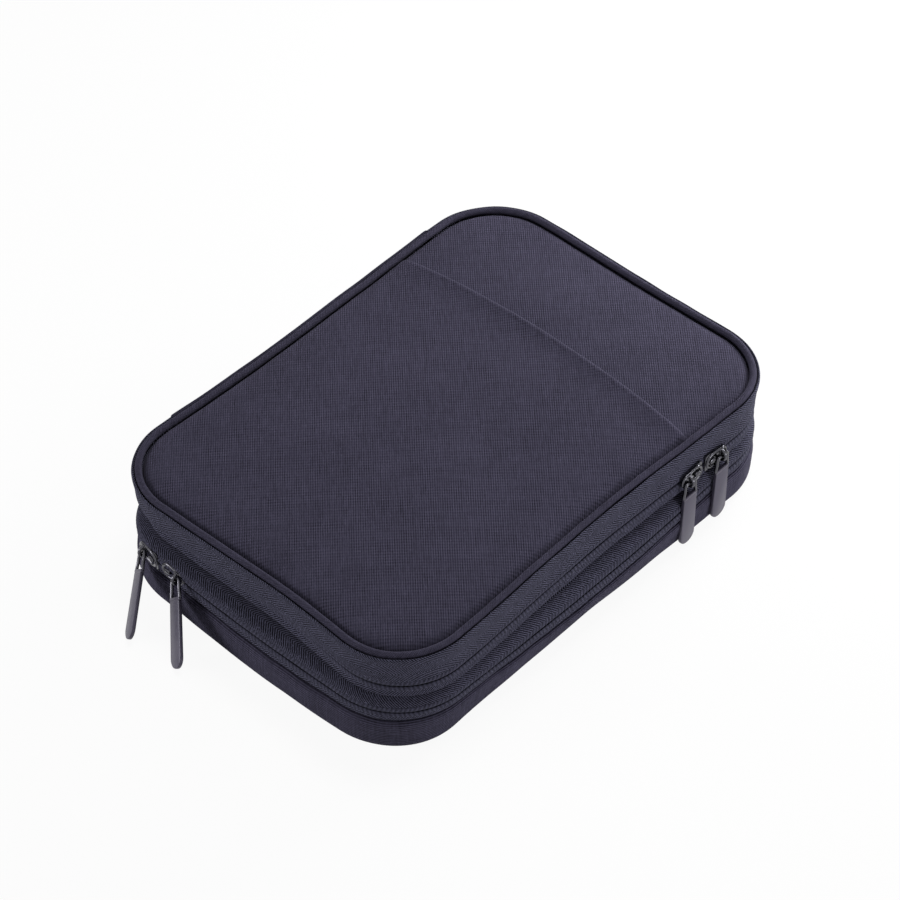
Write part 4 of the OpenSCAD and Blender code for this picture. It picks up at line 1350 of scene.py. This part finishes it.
def round_outline(circles, count=64):
    """The outline round several circles (x, y, radius), and the outward direction at each of its points."""
    turn = 2 * math.pi * np.arange(count) / count
    away = np.stack([np.cos(turn), np.sin(turn)], 1)
    circles = np.asarray(circles, float)
    reach = away @ circles[:, :2].T + circles[None, :, 2]
    pick = reach.argmax(1)
    return circles[pick, :2] + away * circles[pick, 2:3], away


def bevelled(cloth, circles, low, high, bevel, count=64):
    """A flat piece with rounded edges, from the level low to the level high."""
    line, away = round_outline(circles, count)
    steps = [(-bevel, low), (-0.3 * bevel, low + 0.3 * bevel), (0, low + bevel), (0, high - bevel),
             (-0.3 * bevel, high - 0.3 * bevel), (-bevel, high)]
    rings = [np.column_stack([line + away * inward, np.full(count, z)]) for inward, z in steps]
    m = len(steps)
    first = cloth.grid(np.stack(rings, 1) * MM, along(line, True) * MM, np.arange(m) * MM, wrap_rows=True)
    cloth.cap(first + m * np.arange(count))
    cloth.cap(first + m * np.arange(count) + m - 1, flip=True)


def set_down(cloth, name, kind, matrix, metal, body_kind, node_kind):
    """Puts a small metal piece in its place on the case, and names it after its zip and side."""
    part, side = name.split("_")
    piece = cloth.piece(f"{part}_{kind}_{side}")
    metres = Matrix.Diagonal((MM, MM, MM, 1))
    piece.data.transform(metres @ matrix @ metres.inverted())
    face_out(piece, sharp_deg=38)
    finish_name, slot_name = metal
    dressed(piece, finish_name, slot_name, f"{name}_{body_kind}", f"{part}_{node_kind}_{side}")


GLOSS = ("slider_gloss", "slider_metal")  # a finish and its slot
SATIN = ("tab_satin", "tab_metal")


def slider_outline(half, tail):
    """Circles at a slider's round tail and at the two corners of its nose."""
    length, r = mm(zips().slider), 1.5
    return [(-length / 2 + tail, 0, tail), (length / 2 - r, half - r, r), (length / 2 - r, r - half, r)]


def slider_body(name, matrix, deeper):
    """The slider: its shaped plate with a raised ring and a boss, its inner plate, the post and the lip.

    deeper moves the inner plate further in, where the zip bends.
    """
    z = zips()
    out, plate, length = mm(z.clear), mm(z.plate), mm(z.slider)
    half, tail, ring_r = mm(z.slider_w) / 2, mm(z.slider_tail) / 2, 0.66
    inner, inner_half, post, lip = -mm(z.tape) - 1.6 - out - plate - deeper, 3.15, 0.25, 0.3
    lip_up = -inner_half + lip
    cloth = Cloth()
    bevelled(cloth, slider_outline(half, tail), out, out + plate - 0.55, 0.35)
    line, away = round_outline([(tail - length / 2, 0, tail), (length / 2 - half, 0, half - 0.2)], 72)
    ring = np.column_stack([line - 0.7 * away, np.full(72, out + plate - 0.45)])
    tube(cloth, ring * MM, ring_r * MM, sides=14, closed=True)
    bevelled(cloth, [(2.0, 0, 1.1), (3.3, 0, 0.9)], out + plate - 0.8, out + plate + 0.75, 0.6, 32)
    bevelled(cloth, slider_outline(inner_half, inner_half - 0.4), inner, inner + plate, 0.25)
    bevelled(cloth, [(length / 2 - 2.75, 0, post), (length / 2 - 0.85, 0, post)],
             inner + 0.3, out + 0.3, 0.03, 24)
    bevelled(cloth, [(-length / 2 + 2.9, lip_up, lip), (length / 2 - 2.3, lip_up, lip)],
             inner + 0.3, inner + plate + 1.6, 0.1, 24)
    set_down(cloth, name, "slider_body", matrix, GLOSS, "slider", "slider")


def bail(name, matrix):
    """The bail: a bar that arches across the slider, on two rounded feet."""
    z = zips()
    r, back, foot_r = mm(z.bail_half), mm(z.bail_back), 0.75
    top = mm(z.clear) + mm(z.plate)
    turn = np.radians(np.linspace(0, 180, 25))
    arch = np.stack([0 * turn - back, r * np.cos(turn), top - 0.1 + r * np.sin(turn) ** 0.9], 1)
    cloth = Cloth()
    tube(cloth, arch * MM, mm(z.bail) / 2 * MM, sides=14, beside=np.array([1.0, 0, 0]))
    for side in (-1, 1):
        bevelled(cloth, [(-back - 0.5, side * r, foot_r), (-back + 0.5, side * r, foot_r)],
                 top - 0.3, top + 0.5, 0.25, 28)
    set_down(cloth, name, "slider_bail", matrix, GLOSS, "slider", "bail")


def hanging(matrix, swivel_deg):
    """The place of a pull: it turns on its eye's top bar, and a lower one leans out over the surface."""
    c, z = case(), zips()
    eye_z = mm(z.clear) + mm(z.plate) + mm(z.bail_half) - mm(z.bail) / 2 - mm(z.eye_wire) / 2 - 0.2
    lean = 0.0
    if swivel_deg:
        to_round = mm(z.pull) - mm(z.eye_wire) / 2 - mm(z.pull_w) / 2
        drop = (mm(c.lower_zip) - mm(z.pull_w) / 2 - 0.3) / (to_round * math.cos(math.radians(swivel_deg)))
        lean = math.acos(min(1.0, drop))
    return (matrix @ Matrix.Translation((-mm(z.bail_back), 0, eye_z))
            @ Matrix.Rotation(math.radians(swivel_deg), 4, "Z") @ Matrix.Rotation(-lean, 4, "X"))


def pull_eye(name, matrix):
    """The wire eye of a pull: narrow where it hangs in the bail, wider where it enters the tab."""
    z = zips()
    half = (mm(z.pull_w) - 0.7 - mm(z.eye_wire)) / 2
    low = -mm(z.eye) - mm(z.eye_wire)
    one_side = [(0.62 * half, 0.0), (0.86 * half, -0.28), (0.97 * half, -1.1), (half, 0.5 * low), (half, low)]
    loop = one_side + [(-x, y) for x, y in one_side[::-1]]
    line = smooth_line(loop[-1:] + loop[:-1], 6, closed=True)
    cloth = Cloth()
    tube(cloth, np.column_stack([line, 0 * line[:, 0]]) * MM, z.eye_wire / 2, sides=14, closed=True)
    set_down(cloth, name, "pull_eye", matrix, GLOSS, "pull", "eye")


def pull_tab(name, matrix):
    """The flat tab of a pull, with its collar rolled round the eye and a bare face."""
    z = zips()
    wide, thick, wire = mm(z.pull_w), mm(z.pull_t), mm(z.eye_wire)
    top, corner, collar, collar_corner = (wide - 0.7) / 2, 0.5, wire / 2 + 0.1, 0.55
    low, tip = -mm(z.eye) - wire, wire / 2 - mm(z.pull)
    cloth = Cloth()
    bevelled(cloth, [(0, tip + wide / 2, wide / 2), (corner - top, low - 0.9, corner),
                     (top - corner, low - 0.9, corner)], -thick / 2, thick / 2, 0.32, 96)
    x = top + 0.3 - collar_corner
    bevelled(cloth, [(side * x, low + way * (collar - 0.6), collar_corner)
                     for way in (1, -1) for side in (-1, 1)], -collar, collar, 0.42, 48)
    set_down(cloth, name, "pull_tab", matrix, SATIN, "pull", "tab")


def sliders():
    c, z = case(), zips()
    bend = mm(z.slider) ** 2 / (8 * (mm(c.corner) - mm(z.face)))  # how far the corner falls behind a slider
    for name, matrix, _ in slider_places():
        slider_body(name, matrix, bend if name == "lower_a" else 0.0)
        bail(name, matrix)


def pulls():
    for name, matrix, swivel in slider_places():
        place = hanging(matrix, swivel)
        pull_eye(name, place)
        pull_tab(name, place)


# ---------------------------------------------------------------- stage

WHITE = (1, 1, 1, 1)
SOFT_WORLD = 0.18  # the world's light on the case
FLOOR_WHITE = 0.93  # how much of the floor is seen as plain white, while the rest keeps the shadow
FLOOR_REACH = 3.0
LENS_MM, SENSOR_MM = 116.6, 36.0
CAMERA_AIM = Vector((-0.0110, 0.0119, 0.0156))
CAMERA_TURN_DEG, CAMERA_RISE_DEG, CAMERA_AWAY = 42.766, 46.011, 1.12073
SOFTBOXES = (  # name, place, aim, width, height and power
    ("softbox_far", (0.03, 0.42, 0.17), (0.01, 0.05, 0.05), 0.24, 0.12, 2.1),
    ("softbox_top", (-0.04, 0.26, 1.15), (0, 0, 0.04), 0.4, 0.25, 5.8),
    ("softbox_right", (0.93, 0.24, 0.09), (0.05, 0, 0.01), 0.5, 0.13, 3.3),
    ("softbox_left", (-0.54, -0.72, 0.17), (-0.03, -0.08, 0.02), 0.36, 0.22, 3.6),
)


def looking(way):
    """The turn of a lamp or camera that looks along a direction."""
    return way.to_track_quat("-Z", "Y").to_euler()


def softbox(name, place, aim, wide, tall, power):
    data = bpy.data.lights.new(name, "AREA")
    data.shape = "RECTANGLE"
    data.size, data.size_y, data.energy = wide, tall, power
    lamp = in_scene(name, data)
    lamp.location = place
    lamp.rotation_euler = looking(Vector(aim) - Vector(place))


def set_up_camera():
    data = bpy.data.cameras.new("camera")
    data.lens, data.sensor_width = LENS_MM, SENSOR_MM
    data.clip_start, data.clip_end = 0.05, 20.0
    camera = in_scene("camera", data)
    turn, rise = math.radians(CAMERA_TURN_DEG), math.radians(CAMERA_RISE_DEG)
    back = Vector((math.sin(turn) * math.cos(rise), -math.cos(turn) * math.cos(rise), math.sin(rise)))
    camera.location = CAMERA_AIM + back * CAMERA_AWAY
    camera.rotation_euler = looking(-back)
    bpy.context.scene.camera = camera


def seen_directly(nodes, links):
    """1 for what the camera sees itself, in gloss or through glass, 0 for the light on other surfaces."""
    path = nodes.new("ShaderNodeLightPath")
    seen = path.outputs["Is Camera Ray"]
    for ray in ("Is Glossy Ray", "Is Transmission Ray"):
        either = nodes.new("ShaderNodeMath")
        either.operation = "MAXIMUM"
        links.new(seen, either.inputs[0])
        links.new(path.outputs[ray], either.inputs[1])
        seen = either.outputs[0]
    return seen


def mixed(nodes, links, share, first, second, output):
    """Mixes two shaders into an output."""
    mix = nodes.new("ShaderNodeMixShader")
    for socket, value in zip(mix.inputs, (share, first, second)):
        links.new(value, socket)
    links.new(mix.outputs[0], output.inputs[0])


def white_world():
    """A world that is white to the eye and lights the case softly."""
    world = bpy.data.worlds.new("studio_white")
    bpy.context.scene.world = world
    world.use_nodes = True
    nodes, links = world.node_tree.nodes, world.node_tree.links
    soft, white = nodes["Background"], nodes.new("ShaderNodeBackground")
    for background, strength in ((soft, SOFT_WORLD), (white, 1.0)):
        background.inputs[0].default_value = WHITE
        background.inputs[1].default_value = strength
    mixed(nodes, links, seen_directly(nodes, links), soft.outputs[0], white.outputs[0], nodes["World Output"])


def floor_white():
    """The floor's white: mostly plain white to the eye, with the case's shadow."""
    material = bpy.data.materials.new("studio_floor_white")
    material.use_nodes = True
    nodes, links = material.node_tree.nodes, material.node_tree.links
    paint, glow = nodes["Principled BSDF"], nodes.new("ShaderNodeEmission")
    paint.inputs["Base Color"].default_value = tuple(colours().floor) + (1.0,)
    paint.inputs["Roughness"].default_value = 0.9
    glow.inputs[1].default_value = 1.0
    part = nodes.new("ShaderNodeMath")
    part.operation = "MULTIPLY"
    part.inputs[1].default_value = FLOOR_WHITE
    links.new(seen_directly(nodes, links), part.inputs[0])
    mixed(nodes, links, part.outputs[0], paint.outputs[0], glow.outputs[0], nodes["Material Output"])
    return material


def studio():
    bpy.context.scene.view_settings.view_transform = "Standard"
    white_world()
    for box in SOFTBOXES:
        softbox(*box)
    set_up_camera()
    mesh = bpy.data.meshes.new("studio_floor")
    r = FLOOR_REACH
    mesh.from_pydata([(-r, -r, 0), (r, -r, 0), (r, r, 0), (-r, r, 0)], [], [(0, 1, 2, 3)])
    mesh.materials.append(floor_white())
    floor = in_scene("studio_floor", mesh)


# ---------------------------------------------------------------- operators

def finished(*names):
    """Ends an operator, and raises an error where a piece of it is missing."""
    missing = [name for name in names if name not in bpy.context.scene.objects]
    if missing:
        raise RuntimeError("not made: " + ", ".join(missing))
    return {"FINISHED"}


def on_every_zip_side(kind):
    """The names of one kind of piece on the four sliders."""
    return [f"{part}_{kind}_{side}" for part in ("lower", "upper") for side in ("a", "b")]


class ZIPCASE_OT_studio(bpy.types.Operator):
    """Sets up the camera, the softboxes, the white world and the floor"""
    bl_idname = "zipcase.studio"
    bl_label = "Studio"
    bl_options = {"REGISTER", "UNDO"}

    def execute(self, context):
        studio()
        return finished("camera", "studio_floor")


class ZIPCASE_OT_tray(bpy.types.Operator):
    """Makes the padded tray and its lining"""
    bl_idname = "zipcase.tray"
    bl_label = "Tray"
    bl_options = {"REGISTER", "UNDO"}

    def execute(self, context):
        tray_cloth()
        tray_inner_cloth()
        return finished("tray_padded_shell", "tray_inner_lining")


class ZIPCASE_OT_tapes(bpy.types.Operator):
    """Makes the four zip tapes with their stitched edges"""
    bl_idname = "zipcase.tapes"
    bl_label = "Zip tapes"
    bl_options = {"REGISTER", "UNDO"}

    def execute(self, context):
        zip_tapes()
        return finished(
            "tray_tape", "leaf_lower_tape", "leaf_upper_tape", "lid_tape",
            "tray_tape_edge", "leaf_lower_tape_edge", "leaf_upper_tape_edge", "lid_tape_edge")


class ZIPCASE_OT_coils(bpy.types.Operator):
    """Makes the four nylon coils"""
    bl_idname = "zipcase.coils"
    bl_label = "Coils"
    bl_options = {"REGISTER", "UNDO"}

    def execute(self, context):
        zip_coils()
        return finished("tray_coil", "leaf_lower_coil", "leaf_upper_coil", "lid_coil")


class ZIPCASE_OT_bindings(bpy.types.Operator):
    """Makes the three folded bindings"""
    bl_idname = "zipcase.bindings"
    bl_label = "Bindings"
    bl_options = {"REGISTER", "UNDO"}

    def execute(self, context):
        bindings()
        return finished("tray_rim_binding", "divider_edge_binding", "lid_seam_binding")


class ZIPCASE_OT_divider(bpy.types.Operator):
    """Makes the padded divider"""
    bl_idname = "zipcase.divider"
    bl_label = "Divider"
    bl_options = {"REGISTER", "UNDO"}

    def execute(self, context):
        divider()
        return finished("divider_pad")


class ZIPCASE_OT_elastic(bpy.types.Operator):
    """Makes the elastic band on the divider and its stitches"""
    bl_idname = "zipcase.elastic"
    bl_label = "Elastic loops"
    bl_options = {"REGISTER", "UNDO"}

    def execute(self, context):
        elastic_band()
        return finished("divider_elastic_loops", "divider_elastic_stitches")


class ZIPCASE_OT_lid(bpy.types.Operator):
    """Makes the lid's padded panel"""
    bl_idname = "zipcase.lid"
    bl_label = "Lid panel"
    bl_options = {"REGISTER", "UNDO"}

    def execute(self, context):
        lid_panel()
        return finished("lid_padded_panel")


class ZIPCASE_OT_pocket(bpy.types.Operator):
    """Makes the slip pocket on the lid"""
    bl_idname = "zipcase.pocket"
    bl_label = "Slip pocket"
    bl_options = {"REGISTER", "UNDO"}

    def execute(self, context):
        slip_pocket()
        return finished("lid_slip_pocket_cloth")


class ZIPCASE_OT_piping(bpy.types.Operator):
    """Makes the piping round the lid"""
    bl_idname = "zipcase.piping"
    bl_label = "Piping"
    bl_options = {"REGISTER", "UNDO"}

    def execute(self, context):
        piping()
        return finished("lid_piping_cord")


class ZIPCASE_OT_lid_inside(bpy.types.Operator):
    """Makes the lid's lining and its net pocket"""
    bl_idname = "zipcase.lid_inside"
    bl_label = "Lid inside"
    bl_options = {"REGISTER", "UNDO"}

    def execute(self, context):
        lid_lining()
        net_pocket()
        net_elastic()
        return finished("lid_lining_cloth", "lid_net", "lid_net_elastic")


class ZIPCASE_OT_spine(bpy.types.Operator):
    """Makes the spine cloth over both hinges"""
    bl_idname = "zipcase.spine"
    bl_label = "Spine cloth"
    bl_options = {"REGISTER", "UNDO"}

    def execute(self, context):
        spine_cloths()
        return finished("spine_cloth_lower", "spine_cloth_upper")


class ZIPCASE_OT_sliders(bpy.types.Operator):
    """Makes the four zip sliders with their bails"""
    bl_idname = "zipcase.sliders"
    bl_label = "Sliders"
    bl_options = {"REGISTER", "UNDO"}

    def execute(self, context):
        sliders()
        return finished(*on_every_zip_side("slider_body"), *on_every_zip_side("slider_bail"))


class ZIPCASE_OT_pulls(bpy.types.Operator):
    """Makes the four pulls, each an eye and a tab"""
    bl_idname = "zipcase.pulls"
    bl_label = "Pulls"
    bl_options = {"REGISTER", "UNDO"}

    def execute(self, context):
        pulls()
        return finished(*on_every_zip_side("pull_eye"), *on_every_zip_side("pull_tab"))


STEPS = (
    ZIPCASE_OT_studio, ZIPCASE_OT_tray, ZIPCASE_OT_tapes, ZIPCASE_OT_coils, ZIPCASE_OT_bindings,
    ZIPCASE_OT_divider, ZIPCASE_OT_elastic, ZIPCASE_OT_lid, ZIPCASE_OT_pocket, ZIPCASE_OT_piping,
    ZIPCASE_OT_lid_inside, ZIPCASE_OT_spine, ZIPCASE_OT_sliders, ZIPCASE_OT_pulls,
)
GROUPS = (("case_sizes", CaseSizes), ("case_zips", ZipSizes), ("case_colours", CaseColours))


class ZIPCASE_PT_panel(bpy.types.Panel):
    """Sizes, colours and steps of the zip case"""
    bl_idname = "ZIPCASE_PT_panel"
    bl_label = "Zip case"
    bl_space_type = "VIEW_3D"
    bl_region_type = "UI"
    bl_category = "Zip case"

    def draw(self, context):
        for (place, group), title in zip(GROUPS, ("Case", "Zips", "Colours")):
            box = self.layout.box()
            box.label(text=title)
            for name in group.__annotations__:
                box.prop(getattr(context.scene, place), name)
        for kind in STEPS:
            self.layout.operator(kind.bl_idname)


def register():
    for name, group in GROUPS:
        bpy.utils.register_class(group)
        setattr(bpy.types.Scene, name, bpy.props.PointerProperty(type=group))
    for kind in (*STEPS, ZIPCASE_PT_panel):
        bpy.utils.register_class(kind)


def unregister():
    for kind in (ZIPCASE_PT_panel, *reversed(STEPS)):
        bpy.utils.unregister_class(kind)
    for name, group in reversed(GROUPS):
        delattr(bpy.types.Scene, name)
        bpy.utils.unregister_class(group)


def main():
    register()
    for kind in STEPS:
        area, name = kind.bl_idname.split(".")
        getattr(getattr(bpy.ops, area), name)()


if __name__ == "__main__":
    main()
